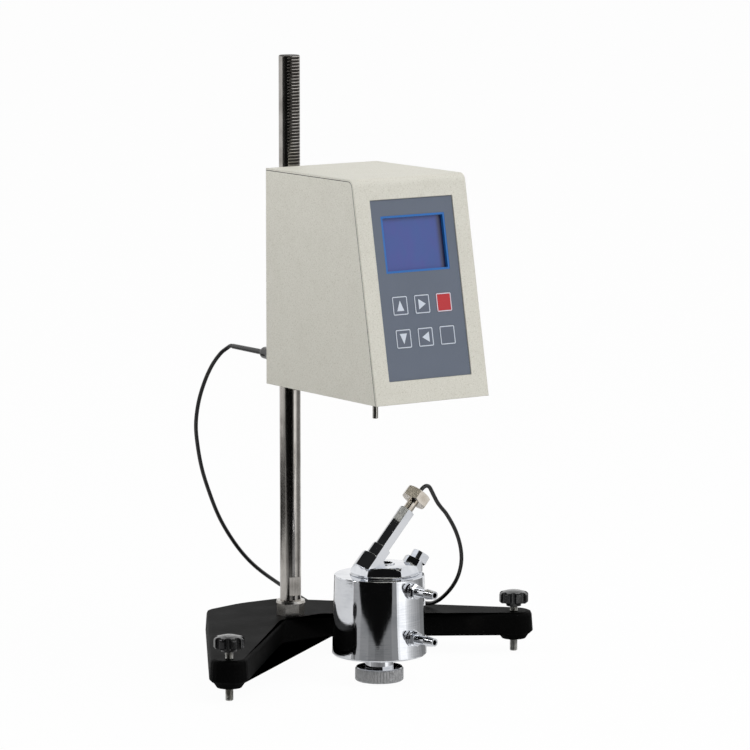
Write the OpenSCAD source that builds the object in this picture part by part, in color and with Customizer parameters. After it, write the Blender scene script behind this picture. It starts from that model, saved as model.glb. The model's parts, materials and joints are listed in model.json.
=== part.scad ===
// Rotational viscometer on a rack column, with a jacketed sample vessel beside it.
// Origin: on the spindle axis at bench level. +X right as seen from the front, +Y to the back, +Z up.

/* [Stand] */
// Height of the column's top above the bench
column_top = 600; // [560:5:660]
// Diameter of the column
column_d = 21; // [19:0.5:23]
// Distance from the spindle axis back to the column axis
column_reach = 149; // [140:1:165]
// Angle the base is turned to on the column
base_turn = 6.3; // [-10:0.1:10]
// Half the distance between the levelling screws
foot_half_span = 184; // [165:1:200]
// How far the levelling screws stand in front of the column
foot_forward = 129; // [110:1:145]
// Height of the base's top face above the bench
base_top = 41; // [38:0.5:46]
// Height of the underside of the legs above the bench
leg_bottom = 18.5; // [16:0.5:22]
// Height of the underside of the bosses above the bench
boss_bottom = 13; // [11:0.5:15]
// Wall thickness of the base casting
base_wall = 7; // [5:0.5:9]
// Radius of the round end of each leg
leg_end_r = 18; // [15:0.5:21]
// How far the base reaches behind the column
base_rear = 83; // [76:1:90]
// How far the web between the legs reaches in front of the column
web_front = 28.5; // [26:0.5:34]
// How far the web's front leans back on the way up
web_slope = 9.5; // [4:0.5:10]
// Diameter of the levelling knobs
level_knob_d = 29.5; // [24:0.5:36]
// Diameter of the levelling screws
level_screw_d = 8; // [6:1:10]
// Height of the left levelling knob above the bench
left_knob_z = 47.8; // [46:0.2:52]
// Height of the right levelling knob above the bench
right_knob_z = 45.8; // [44:0.2:52]

/* [Lift] */
// Module of the rack and its pinion
rack_module = 1; // [0.8:0.1:1.1]
// Number of teeth on the lift pinion
pinion_teeth = 16; // [14:1:20]
// Height of the pinion shaft above the bench
pinion_z = 390; // [380:1:400]
// Width of the pinion's toothed part
pinion_w = 12; // [8:1:14]
// Diameter of the pinion shaft
pinion_shaft_d = 8; // [6:0.5:9]
// Height of the lift bracket
bracket_h = 130; // [110:2:140]
// Wall of the bracket's collar around the bushes
collar_wall = 6; // [4:0.5:7]
// Wall of the guide bushes
bush_wall = 2.5; // [2:0.25:3.5]
// Length of each guide bush
bush_l = 20; // [14:1:24]
// Diameter of the lift knob
lift_knob_d = 38; // [30:1:44]
// Diameter of the clamp knob
clamp_knob_d = 24; // [18:1:28]

/* [Head] */
// Width of the head
head_w = 130; // [120:1:145]
// Height of the head
head_h = 210.5; // [200:0.5:225]
// Depth of the head along its underside
head_depth = 189; // [180:1:200]
// Height of the head's underside above the bench
head_bottom = 286; // [280:1:300]
// Distance from the column axis forward to the head's back face
back_gap = 56.7; // [52:0.1:64]
// Backward slope of the front panel
front_slope = 11; // [8:0.5:14]
// Outside bend radius of the cover
bend_r = 8; // [5:0.5:12]
// Thickness of the cover sheet
cover_t = 2; // [1.5:0.25:3]
// Thickness of the side and back sheet
shell_t = 1.5; // [1:0.25:2.5]

/* [Panel] */
// Width of the keypad panel
panel_w = 95; // [90:0.5:104]
// Height of the keypad panel
panel_h = 171.8; // [165:0.2:180]
// Distance along the slope from the cover's lower edge to the panel
panel_low = 22.1; // [16:0.1:26]
// Depth of the panel's face below the cover's face
panel_recess = 1; // [0.5:0.1:1.5]
// Thickness of the keypad panel
panel_t = 1.4; // [1:0.1:2]
// Width of the display window's frame
window_w = 73.6; // [66:0.2:80]
// Height of the display window's frame
window_h = 54.5; // [48:0.5:58]
// Width of the frame's rim
window_rim = 2; // [1:0.1:3]
// Depth of the display behind the panel's face
display_depth = 3.5; // [2:0.1:5]
// Width of a key
key_w = 17.2; // [14:0.1:19]
// Height of a key
key_h = 17.8; // [14:0.1:19]
// Distance between key columns
key_pitch_x = 25.4; // [22:0.1:28]
// Distance between key rows
key_pitch_y = 31.5; // [24:0.5:34]
// Travel of a key
key_travel = 0.4; // [0.2:0.05:0.5]

/* [Movement] */
// Diameter of the spindle coupling below the head
spindle_d = 5.5; // [4:0.25:7]
// How far the spindle coupling stands out below the head
spindle_drop = 28.5; // [20:0.5:36]
// Radius of the spindle coupling's threaded hole
spindle_hole_r = 1.25; // [1:0.05:1.6]
// Depth of the spindle coupling's threaded hole
spindle_hole_l = 9; // [6:0.5:14]
// Diameter of the driven disc
drive_disc_d = 50; // [40:1:56]
// Diameter of the measuring disc
pivot_disc_d = 42; // [34:1:46]
// Number of slots in each disc
disc_slots = 12; // [8:1:16]

/* [Vessel] */
// Distance of the vessel's axis to the right of the spindle axis
vessel_x = 4; // [0:0.5:10]
// Distance of the vessel's axis in front of the spindle axis
vessel_y = 1; // [0:0.5:6]
// Outside radius of the jacket at its lower edge
jacket_r = 46; // [42:0.5:50]
// How much smaller the jacket's radius is at its upper edge
jacket_taper = 2; // [0:0.25:3]
// Height of the jacket's lower edge above the bench
jacket_bottom = 26; // [24:0.5:32]
// Height of the jacket itself
jacket_h = 78.5; // [70:0.5:90]
// Wall thickness of the jacket
jacket_wall = 2; // [1.5:0.25:3]
// Radius of the knurled nut under the jacket
foot_nut_r = 23.6; // [20:0.2:28]
// Height of the knurled nut
foot_nut_h = 13.3; // [10:0.1:16]
// How far the sample well's axis is to the right of the jacket's axis
well_shift = 6; // [3:0.5:7]
// Inside radius of the sample well
well_r = 12; // [9:0.5:13]
// Wall thickness of the sample well
well_wall = 2; // [1.5:0.25:3]
// Radius of the lid's flange
lid_r = 34; // [32:0.5:36]
// Radius of the lid's opening
lid_hole_r = 8; // [6:0.5:9]
// Lean of the temperature probe from upright
probe_lean = 42; // [36:1:46]
// Width across flats of the probe's boss nut
boss_af = 24.8; // [22:0.2:27]
// Diameter of the probe's tube
probe_d = 10; // [8:0.5:11]
// Length of the probe's sleeve above its foot
sleeve_l = 45; // [35:1:50]
// Direction of the hose nozzles, turned from the right
nozzle_heading = -80; // [-86:1:-72]
// Length of a hose nozzle in front of its seat
nozzle_l = 29; // [24:0.5:34]
// Bore radius of a hose nozzle
nozzle_bore_r = 2.6; // [2:0.1:3]

/* [Lead] */
// Diameter of the probe lead
lead_d = 4; // [3:0.5:4.5]

/* [Hidden] */
$fn = 48;

// Clearances
run_gap = 0.05;      // radial gap of a shaft or slide that moves
fit_gap = 0.02;      // radial gap of a part that is fixed in its hole
loose_gap = 0.3;     // gap round a key, a window or a cut-out
eps = 0.01;          // overrun of a cut past a face

// Finishes
cast_black = [0.07, 0.07, 0.07];
moulded_black = [0.05, 0.05, 0.05];
cream = [0.84, 0.83, 0.76];
slate = [0.36, 0.39, 0.44];
steel = [0.62, 0.61, 0.58];
zinc = [0.68, 0.68, 0.66];
chrome = [0.82, 0.83, 0.85];
nickel = [0.75, 0.72, 0.66];
bronze = [0.66, 0.49, 0.27];
board_green = [0.10, 0.36, 0.20];

// ---- Shared functions -------------------------------------------------------------

function unit(v) = v / norm(v);
function turn_left(v) = [-v[1], v[0]];
function arc(centre, r, from, to, steps) =
    [for (i = [0:steps]) centre + r * [cos(from + (to - from) * i / steps), sin(from + (to - from) * i / steps)]];

// Where two straight lines cross, each given by a point and a direction
function cross2(a, b) = a[0] * b[1] - a[1] * b[0];
function meet(p, u, q, v) = p + u * (cross2(q - p, v) / cross2(u, v));

// A counter-clockwise outline moved inwards by d
function inset(pts, d) = [for (i = [0:len(pts) - 1])
    let(n = len(pts), here = pts[i],
        into = unit(here - pts[(i + n - 1) % n]), out = unit(pts[(i + 1) % n] - here))
    meet(here + d * turn_left(into), into, here + d * turn_left(out), out)];

// An outline with each corner i rounded to the radius radii[i]
function rounded(pts, radii, steps) = [for (i = [0:len(pts) - 1])
    let(n = len(pts), here = pts[i],
        a = unit(pts[(i + n - 1) % n] - here), b = unit(pts[(i + 1) % n] - here),
        half = acos(a * b) / 2, centre = here + unit(a + b) * (radii[i] / sin(half)),
        start = here + a * (radii[i] / tan(half)) - centre, side = sign(cross2(a, b)))
    for (k = [0:steps])
        let(w = side * (180 - 2 * half) * k / steps * -1)
        centre + [start[0] * cos(w) - start[1] * sin(w), start[0] * sin(w) + start[1] * cos(w)]];

function block(w, h) = [[w / 2, h / 2], [-w / 2, h / 2], [-w / 2, -h / 2], [w / 2, -h / 2]];
function same(r, n) = [for (i = [1:n]) r];

// Lofted solid through outlines that all have as many points, each at its own height
module loft(outlines, heights) {
    n = len(outlines[0]);
    rings = len(outlines);
    polyhedron(
        points = [for (r = [0:rings - 1]) for (p = outlines[r]) [p[0], p[1], heights[r]]],
        faces = concat(
            [[for (i = [0:n - 1]) i]],
            [for (r = [0:rings - 2]) for (i = [0:n - 1]) for (half = [0, 1])
                let(j = (i + 1) % n, low = r * n, high = (r + 1) * n)
                half == 0 ? [low + i, high + i, high + j] : [low + i, high + j, low + j]],
            [[for (i = [n - 1:-1:0]) (rings - 1) * n + i]]));
}

module plate(w, h, t, r = 0) {
    linear_extrude(t) {
        if (r > 0) polygon(rounded(block(w, h), same(r, 4), 4));
        else square([w, h], center = true);
    }
}

module ring(outer_r, inner_r, h) {
    difference() {
        cylinder(r = outer_r, h = h);
        translate([0, 0, -1]) cylinder(r = inner_r, h = h + 2);
    }
}

module hex(across_flats, h) {
    cylinder(d = across_flats / cos(30), h = h, $fn = 6);
}

// Hexagon bar with its corners turned off at the ends
module turned_hex(across_flats, h, low = true) {
    r = across_flats / 2;
    c = r * (1 / cos(30) - 1);
    intersection() {
        hex(across_flats, h);
        rotate_extrude() polygon([[0, 0], [low ? r : r + c, 0], [r + c, low ? c * 0.6 : 0],
            [r + c, h - c * 0.6], [r, h], [0, h]]);
    }
}

// Fluted hand knob with a domed top, standing on its collar
module fluted_knob(d, h, collar_d, collar_h, flutes, flute_r, sunk) {
    r = d / 2;
    difference() {
        rotate_extrude() polygon(concat(
            [[0, 0], [collar_d / 2, 0], [collar_d / 2, collar_h], [r - 1.5, collar_h], [r, collar_h + 1.5]],
            arc([r - 3, h - 5], 3, 0, 70, 5),
            [[0.45 * r, h - 0.6], [0, h]]));
        for (i = [0:flutes - 1]) rotate(360 / flutes * i)
            translate([r - sunk, 0, collar_h - 1]) cylinder(r = flute_r, h = h);
    }
}

// ---- Stand -------------------------------------------------------------------------

spigot_d = 16;                      // column's lower end, through the base
nut_h = 13;
nut_af = 24;
nut_turn = 34.4;
flange_h = 2.2;
flange_d = 29.2;
shoulder_z = base_top + nut_h + flange_h;
under_nut_h = 7;
under_washer_t = 1.6;
hub_r = web_front - web_slope - 1;
outer_heading = 38;                 // outer edge of a leg, turned from straight ahead
inner_heading = 50;                 // inner edge of a leg
draft = 1.2;
top_round = 3.5;
bottom_round = 2.5;
rear_crown = 6;                     // how far the rear edge bows out
rear_foot_back = 52;
rear_foot_r = 11;
rib_w = 3.5;

module at_column() { translate([0, column_reach, 0]) children(); }
module in_base() { at_column() rotate(base_turn) children(); }
module at_foot(side) { in_base() translate([side * foot_half_span, -foot_forward, 0]) children(); }

foot = [foot_half_span, -foot_forward];
outer_dir = [sin(outer_heading), -cos(outer_heading)];
inner_dir = [sin(inner_heading), -cos(inner_heading)];
leg_dir = unit(outer_dir + inner_dir);
outer_at = foot + leg_end_r * turn_left(outer_dir);
inner_at = foot - leg_end_r * turn_left(inner_dir);
end_at = foot + leg_end_r * leg_dir;
function right_corners(web) = [
    meet(inner_at, inner_dir, [0, -web], [1, 0]),
    meet(inner_at, inner_dir, end_at, turn_left(leg_dir)),
    meet(outer_at, outer_dir, end_at, turn_left(leg_dir)),
    meet(outer_at, outer_dir, [0, base_rear - rear_crown], [1, 0])];
function base_corners(web) = let(right = right_corners(web))
    concat(right, [[0, base_rear]], [for (i = [3:-1:0]) [-right[i][0], right[i][1]]]);
corner_r = [16, leg_end_r * 0.92, leg_end_r * 0.92, 12, 90, 12, leg_end_r * 0.92, leg_end_r * 0.92, 16];
function base_outline(web, d) = rounded(inset(base_corners(web), d),
    [for (i = [0:8]) corner_r[i] + (i == 0 || i == 8 ? d : -d) * 0.8], 5);

module leg_rib(side) {
    translate([0, rear_foot_back]) rotate(90 - side * (90 + atan2(foot_forward + rear_foot_back, foot_half_span)))
        translate([0, -rib_w / 2]) square([300, rib_w]);
}

module base_casting() {
    pocket_top = base_top - base_wall;
    boss_h = pocket_top + 2 - boss_bottom;
    web_back = web_front - web_slope;
    color(cast_black) in_base() difference() {
        union() {
            difference() {
                loft([base_outline(web_front, bottom_round - draft), base_outline(web_front, -draft),
                    base_outline(web_back, 0), base_outline(web_back, top_round * 0.3), base_outline(web_back, top_round)],
                    [leg_bottom, leg_bottom + bottom_round, base_top - top_round, base_top - top_round * 0.3, base_top]);
                // Cored underside, with ribs left standing
                translate([0, 0, leg_bottom - 1]) linear_extrude(pocket_top - leg_bottom + 1) difference() {
                    polygon(inset(base_corners(web_back), base_wall));
                    leg_rib(-1);
                    leg_rib(1);
                }
            }
            translate([0, 0, boss_bottom]) cylinder(r = hub_r, h = boss_h);
            translate([0, rear_foot_back, boss_bottom]) cylinder(r = rear_foot_r + 2, h = boss_h);
            for (side = [-1, 1]) translate([side * foot[0], foot[1], boss_bottom]) {
                cylinder(r1 = leg_end_r - 6, r2 = leg_end_r - 1.5, h = leg_bottom - boss_bottom + 1);
                translate([0, 0, leg_bottom - boss_bottom + 1])
                    cylinder(r = leg_end_r - 1.5, h = boss_h - leg_bottom + boss_bottom - 1);
            }
        }
        translate([0, 0, -eps]) cylinder(d = spigot_d + 2 * fit_gap, h = base_top + 1);
        translate([0, rear_foot_back, -eps]) cylinder(d = 6 + 2 * fit_gap, h = boss_bottom + 12);
        for (side = [-1, 1]) translate([side * foot[0], foot[1], -eps])
            cylinder(d = level_screw_d + 2 * run_gap, h = base_top + 1);
    }
}

module rear_foot() {
    color(moulded_black) in_base() translate([0, rear_foot_back, 0]) {
        rotate_extrude() polygon([[0, 0], [rear_foot_r - 2, 0], [rear_foot_r, 2], [rear_foot_r, boss_bottom - 3],
            [rear_foot_r - 2, boss_bottom], [3, boss_bottom], [3, boss_bottom + 11], [0, boss_bottom + 11]]);
    }
}

pitch = PI * rack_module;
tooth_h = 2.25 * rack_module;
tip_flat = 0.45;                                        // depth of the flat planed before the teeth
pitch_line = column_d / 2 - tip_flat - rack_module;     // from the column axis
mesh_gap = 0.1;
pinion_r = rack_module * pinion_teeth / 2;
pinion_y = column_reach - pitch_line - pinion_r - mesh_gap;
teeth_low = round((head_bottom - 16 - pinion_z) / pitch);
teeth_high = ceil((column_top - pinion_z) / pitch);
flat_z = 71;
flat_h = 18.5;
flat_depth = 2.4;

// One long cutter with the outline of all the rack's gaps
module rack_cutter() {
    low = rack_module * 1.25;
    half_pitch = pitch / 4 + 0.04;
    slope = tan(20);
    root_y = -(pitch_line - low);
    tip_y = -(pitch_line + rack_module);
    out_y = -column_d;
    rotate([90, 0, 90]) translate([0, 0, -column_d]) linear_extrude(2 * column_d) polygon(concat(
        [[out_y, pinion_z + (teeth_low - 0.5) * pitch], [tip_y, pinion_z + (teeth_low - 0.5) * pitch]],
        [for (i = [teeth_low:teeth_high]) for (p = [
            [tip_y, -half_pitch - slope * rack_module], [root_y, -half_pitch + slope * low],
            [root_y, half_pitch - slope * low], [tip_y, half_pitch + slope * rack_module]])
            [p[0], pinion_z + i * pitch + p[1]]],
        [[tip_y, pinion_z + (teeth_high + 0.5) * pitch], [out_y, pinion_z + (teeth_high + 0.5) * pitch]]));
}

module column() {
    r = column_d / 2;
    color(steel) at_column() difference() {
        rotate_extrude() polygon([[0, under_end], [spigot_d / 2 - 1, under_end], [spigot_d / 2, under_end + 1],
            [spigot_d / 2, shoulder_z], [r, shoulder_z], [r, column_top - 1], [r - 1, column_top], [0, column_top]]);
        rack_cutter();
        translate([-r, -r - 10 + flat_depth, flat_z - flat_h / 2]) cube([2 * r, 10, flat_h]);
    }
}
under_end = boss_bottom - under_washer_t - under_nut_h - 1;

module column_nut() {
    color(steel) at_column() translate([0, 0, base_top]) difference() {
        union() {
            rotate(nut_turn) turned_hex(nut_af, nut_h, false);
            translate([0, 0, nut_h - 0.5]) cylinder(d1 = flange_d, d2 = flange_d - 1.2, h = flange_h + 0.5);
        }
        translate([0, 0, -1]) cylinder(d = spigot_d + 2 * fit_gap, h = nut_h + flange_h + 2);
    }
}

module under_nut() {
    color(zinc) at_column() {
        translate([0, 0, boss_bottom - under_washer_t]) ring(17, spigot_d / 2 + fit_gap, under_washer_t);
        translate([0, 0, boss_bottom - under_washer_t - under_nut_h]) difference() {
            turned_hex(24, under_nut_h);
            translate([0, 0, -1]) cylinder(d = spigot_d + 2 * fit_gap, h = under_nut_h + 2);
        }
    }
}

level_knob_h = 16;
stud_grip = 9;
function level_knob_z(side) = side < 0 ? left_knob_z : right_knob_z;

module level_stud(side) {
    r = level_screw_d / 2;
    top = level_knob_z(side) + stud_grip;
    color(zinc) at_foot(side) rotate_extrude() polygon([[0, 0], [r - 1, 0], [r, 1],
        [r, top - 1], [r - 1, top], [0, top]]);
}

module level_knob(side) {
    color(moulded_black) at_foot(side) translate([0, 0, level_knob_z(side)]) difference() {
        fluted_knob(level_knob_d, level_knob_h, 15, 3, 8, 3.1, 1);
        translate([0, 0, -1]) cylinder(d = level_screw_d + 2 * run_gap, h = stud_grip + 1);
    }
}

module left_stud() { level_stud(-1); }
module left_knob() { level_knob(-1); }
module right_stud() { level_stud(1); }
module right_knob() { level_knob(1); }

// ---- Head housing -------------------------------------------------------------------

back_y = column_reach - back_gap;
front_y = back_y - head_depth;
head_top = head_bottom + head_h;
lean_per_h = tan(front_slope);
function front_at(z) = front_y + (z - head_bottom) * lean_per_h;
cover_across = cover_t / cos(front_slope);      // cover sheet measured along Y
inner_w = head_w - 2 * shell_t;
bend_z = head_top - bend_r;
bend_centre = [front_at(bend_z) + bend_r / cos(front_slope), bend_z];

// Places children on the sloping front: X across, Y up the slope, Z outwards
module on_front(depth = 0) {
    translate([0, front_y, head_bottom]) rotate([90 - front_slope, 0, 0]) translate([0, 0, -depth]) children();
}
module across(w) { rotate([90, 0, 90]) translate([0, 0, -w / 2]) linear_extrude(w) children(); }

module front_cover() {
    color(cream) difference() {
        across(head_w) polygon(concat(
            [[front_y, head_bottom]],
            arc(bend_centre, bend_r, 180 - front_slope, 90, 8),
            [[back_y, head_top], [back_y, head_top - cover_t]],
            arc(bend_centre, bend_r - cover_t, 90, 180 - front_slope, 8),
            [[front_y + cover_across, head_bottom]]));
        on_front(cover_t + 2) translate([0, panel_low + panel_h / 2, 0])
            plate(panel_w + 2 * loose_gap, panel_h + 2 * loose_gap, cover_t + 4);
    }
}

inlet_x = 47;
inlet_z = 307;
inlet_w = 28;
inlet_h = 21;
rocker_z = 340;
rocker_w = 12;
rocker_h = 18;
gland_x = -57;
gland_z = 314;
gland_r = 5;
gland_l = 21;
boot_l = 52;
boot_r = 2.7;

module side_shell() {
    top = head_top - cover_t;
    color(cream) difference() {
        across(head_w) polygon(concat(
            [[front_y + cover_across, head_bottom]],
            arc(bend_centre, bend_r - cover_t, 180 - front_slope, 90, 6),
            [[back_y, top], [back_y, head_bottom]]));
        translate([-inner_w / 2, front_y - 10, head_bottom - 1])
            cube([inner_w, head_depth + 10 - shell_t, head_h + 2]);
        // Openings in the back wall
        translate([inlet_x - inlet_w / 2, back_y - 5, inlet_z - inlet_h / 2]) cube([inlet_w, 10, inlet_h]);
        translate([inlet_x - rocker_w / 2, back_y - 5, rocker_z - rocker_h / 2]) cube([rocker_w, 10, rocker_h]);
        translate([gland_x, back_y + 5, gland_z]) rotate([90, 0, 0]) cylinder(r = gland_r - 1 + fit_gap, h = 12);
        at_bracket_screws() translate([0, 0, -shell_t - 5]) cylinder(d = screw_d + 2 * fit_gap, h = shell_t + 10);
    }
}

floor_t = 2;
floor_z = head_bottom + floor_t;
module bottom_plate() {
    front = front_at(floor_z) + cover_across + loose_gap;
    back = back_y - shell_t;
    w = inner_w - 0.2;
    color(cream) difference() {
        union() {
            translate([-w / 2, front, head_bottom]) cube([w, back - front, floor_t]);
            // Upturned front and side edges that take the cover's screws
            for (side = [-1, 1]) translate([side * (w / 2 - 1) - 1, front + 12, head_bottom])
                cube([2, back - front - 24, 10]);
        }
        translate([0, 0, head_bottom - 1]) cylinder(r = 7, h = floor_t + 2);
    }
}

// ---- Panel ---------------------------------------------------------------------------

window_y = panel_low + panel_h - 15.4 - window_h / 2;
keys_y = panel_low + 55;
key_colour = [0.36, 0.39, 0.44];
key_grid = [[-1, 0.5, "up"], [0, 0.5, "right"], [1, 0.5, "red"], [-1, -0.5, "down"], [0, -0.5, "left"], [1, -0.5, "blank"]];
key_proud = 0.3;
key_t = panel_t + key_proud;
backing_t = 2;
pocket_gap = 0.1;

module at_key(i) { translate([key_grid[i][0] * key_pitch_x, keys_y + key_grid[i][1] * key_pitch_y, 0]) children(); }
module key_form(grow, t) { plate(key_w + 2 * grow, key_h + 2 * grow, t, 1.5 + grow); }

module keypad_panel() {
    color(slate) on_front(panel_recess + panel_t) difference() {
        translate([0, panel_low + panel_h / 2, 0]) plate(panel_w, panel_h, panel_t, 1);
        translate([0, window_y, -1]) plate(window_w + 2 * fit_gap, window_h + 2 * fit_gap, panel_t + 2);
        for (i = [0:5]) translate([0, 0, -1]) at_key(i) key_form(0.15, panel_t + 2);
    }
}

module panel_plate() {
    rim = panel_recess + panel_t - cover_t;
    color(zinc) on_front(panel_recess + panel_t + backing_t) difference() {
        translate([0, panel_low + panel_h / 2, 0]) plate(inner_w - 3, panel_h + 8, backing_t + rim);
        translate([0, panel_low + panel_h / 2, backing_t])
            plate(panel_w + 2 * loose_gap, panel_h + 2 * loose_gap, backing_t);
        translate([0, window_y, -1]) plate(window_w + 2 * fit_gap, window_h + 2 * fit_gap, backing_t + 2);
        for (i = [0:5]) translate([0, 0, backing_t - key_travel - pocket_gap]) at_key(i) key_form(0.3, backing_t);
    }
}

module key(i) {
    color(i == 2 ? [0.72, 0.2, 0.22] : key_colour) on_front(panel_recess + panel_t) at_key(i) key_form(0, key_t);
}
module key_up() { key(0); }
module key_right() { key(1); }
module key_red() { key(2); }
module key_down() { key(3); }
module key_left() { key(4); }
module key_blank() { key(5); }

module display_frame() {
    color([0.05, 0.35, 0.75]) on_front(panel_recess + display_depth) translate([0, window_y, 0]) difference() {
        plate(window_w, window_h, display_depth - 0.2);
        translate([0, 0, -1]) plate(window_w - 2 * window_rim, window_h - 2 * window_rim, display_depth + 2);
    }
}

display_t = 9;
module display_module() {
    color([0.30, 0.33, 0.66]) on_front(panel_recess + display_depth + display_t) translate([0, window_y, 0]) {
        plate(window_w - 2 * window_rim + 3, window_h - 2 * window_rim + 3, display_t);
        plate(window_w + 14, window_h + 8, 1.6);
    }
}

// ---- Boards and power -----------------------------------------------------------------

board_t = 1.6;
board_off = 6;          // board's distance from the side sheet
module standing_board(side, l, h, y, z) {
    x = side * (inner_w / 2 - board_off - board_t / 2);
    translate([x - board_t / 2, y, z]) cube([board_t, l, h]);
    for (v = [8, l - 8]) for (w = [8, h - 8])
        translate([side > 0 ? x + board_t / 2 : x - board_t / 2 - board_off, y + v, z + w]) rotate([0, 90, 0])
            cylinder(d = 5, h = board_off);
}

module main_board() {
    x = -(inner_w / 2 - board_off - board_t);
    color(board_green) standing_board(-1, 105, 120, -30, 305);
    color([0.1, 0.1, 0.1]) {
        translate([x, 0, 340]) cube([3, 28, 28]);
        translate([x, 45, 330]) cube([4, 12, 36]);
        translate([x, -15, 392]) cube([8, 10, 22]);
    }
}

module power_board() {
    x = inner_w / 2 - board_off - board_t;
    color(board_green) standing_board(1, 80, 90, -15, 330);
    color([0.75, 0.6, 0.2]) translate([x - 17, 0, 380]) cube([17, 34, 34]);
    color([0.1, 0.1, 0.3]) for (v = [6, 26]) translate([x, v, 346]) rotate([0, -90, 0]) cylinder(r = 7, h = 18);
}

module power_inlet() {
    color(moulded_black) {
        translate([inlet_x, back_y, inlet_z]) difference() {
            union() {
                rotate([-90, 0, 0]) plate(inlet_w + 4, inlet_h + 4, 2, 2);
                translate([-inlet_w / 2 + 0.2, -16, -inlet_h / 2 + 0.2]) cube([inlet_w - 0.4, 16, inlet_h - 0.4]);
            }
            translate([0, -13, 0]) rotate([-90, 0, 0]) plate(24.5, 16.5, 20, 3);
        }
        translate([inlet_x, back_y - 13.5, inlet_z]) for (u = [-7, 0, 7])
            translate([u - 1, 0, (u == 0 ? 2 : -2) - 2]) cube([2, 11, 4]);
        // Frame of the power switch
        translate([inlet_x, back_y, rocker_z]) difference() {
            union() {
                rotate([-90, 0, 0]) plate(rocker_w + 4, rocker_h + 4, 2, 1);
                translate([-rocker_w / 2 + 0.2, -14, -rocker_h / 2 + 0.2]) cube([rocker_w - 0.4, 14, rocker_h - 0.4]);
            }
            translate([-rocker_w / 2 + 1.5, -12, -rocker_h / 2 + 1.5]) cube([rocker_w - 3, 20, rocker_h - 3]);
        }
    }
}

rocker_tilt = 12;
module power_rocker() {
    w = rocker_w - 4;
    half = rocker_h / 2 - 2.4;
    color(moulded_black) translate([inlet_x, back_y - 4, rocker_z]) {
        rotate([rocker_tilt / 2, 0, 0]) across(w)
            polygon([[-3, -3], [4, -half], [6.2, -half], [5, 0], [6.2, half], [4, half], [-3, 3]]);
        // Pivot pin
        rotate([0, 90, 0]) cylinder(r = 1.6, h = w + 0.3, center = true);
    }
}

// ---- Movement ----------------------------------------------------------------------------

post_r = 4;
post_x = 34;
post_y = 24;
bridge_z = 306;
bridge_t = 4;
motor_plate_z = 370;
motor_plate_t = 4;
drive_disc_z = 346;
pivot_disc_z = 320;
disc_t = 1.5;
journal_r = 2;

module at_posts() { for (x = [-post_x, post_x]) for (y = [-post_y, post_y]) translate([x, y, 0]) children(); }
module lower_posts() { color(zinc) at_posts() translate([0, 0, floor_z]) cylinder(r = post_r, h = bridge_z - floor_z); }
module upper_posts() {
    color(zinc) at_posts() translate([0, 0, bridge_z + bridge_t])
        cylinder(r = post_r, h = motor_plate_z - bridge_z - bridge_t);
}

module lower_bridge() {
    color([0.75, 0.76, 0.77]) translate([0, 0, bridge_z]) difference() {
        plate(2 * post_x + 14, 2 * post_y + 14, bridge_t, 5);
        translate([0, 0, -1]) cylinder(r = 5 + fit_gap, h = bridge_t + 2);
    }
}

module motor_plate() {
    color([0.75, 0.76, 0.77]) translate([0, 0, motor_plate_z]) difference() {
        plate(2 * post_x + 14, 2 * post_y + 14, motor_plate_t, 5);
        translate([0, 0, -1]) cylinder(r = 7, h = motor_plate_t + 2);
    }
}

module gear_motor() {
    z = motor_plate_z + motor_plate_t;
    color([0.5, 0.5, 0.52]) translate([0, 0, z]) difference() {
        union() {
            cylinder(r = 18, h = 22);
            translate([0, 0, 22]) cylinder(r = 14, h = 32);
        }
        translate([0, 0, -1]) cylinder(r = 3 + run_gap, h = 17);
    }
}

module slotted_disc(d, t) {
    difference() {
        cylinder(d = d, h = t);
        for (i = [0:disc_slots - 1]) rotate(360 / disc_slots * i) translate([d / 2 - 4, -1, -1]) cube([6, 2, t + 2]);
    }
}

module drive_hub() {
    color([0.78, 0.78, 0.8]) translate([0, 0, drive_disc_z]) difference() {
        union() {
            slotted_disc(drive_disc_d, disc_t);
            cylinder(r = 3, h = motor_plate_z + motor_plate_t + 14 - drive_disc_z);
            cylinder(r = 7, h = 9);
            // Arms that carry the spring's outer end
            translate([0, 0, -9]) ring(17, 14.6, 9);
        }
        translate([0, 0, -1]) cylinder(r = journal_r * 0.5 + run_gap, h = 5);
    }
}

// Flat spiral spring between the driven hub and the measuring shaft
module torsion_spring() {
    turns = 4;
    steps = 14;
    inner = 5.2;
    outer = 14.2;
    t = 0.4;
    points = [for (i = [0:turns * steps])
        let(a = 360 / steps * i, r = inner + (outer - inner) * i / (turns * steps)) [r * cos(a), r * sin(a)]];
    color([0.8, 0.62, 0.3]) translate([0, 0, drive_disc_z - 6]) {
        linear_extrude(2) polygon(concat(points, [for (i = [len(points) - 1:-1:0]) points[i] * (1 + t / norm(points[i]))]));
        rotate([0, 90, 0]) translate([0, 0, 5.3]) translate([-1, 0, -0.3]) cylinder(r = 0.6, h = 0.3);
    }
}

module pivot_shaft() {
    r = spindle_d / 2;
    tip = head_bottom - spindle_drop;
    color(steel) difference() {
        union() {
            rotate_extrude() polygon([[0, tip], [r - 0.4, tip], [r, tip + 0.4], [r, bridge_z - 2], [journal_r, bridge_z - 1],
                [journal_r, bridge_z + bridge_t + 1], [5, bridge_z + bridge_t + 2], [5, drive_disc_z - 3],
                [journal_r * 0.5, drive_disc_z - 2], [journal_r * 0.5, drive_disc_z + 2.5], [0, drive_disc_z + 3]]);
            translate([0, 0, pivot_disc_z]) slotted_disc(pivot_disc_d, disc_t);
        }
        translate([0, 0, tip - 1]) cylinder(r = spindle_hole_r, h = spindle_hole_l + 1);
    }
}

module lower_bearing() {
    color([0.7, 0.15, 0.25]) translate([0, 0, bridge_z]) ring(5, journal_r + run_gap, bridge_t);
}

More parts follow.
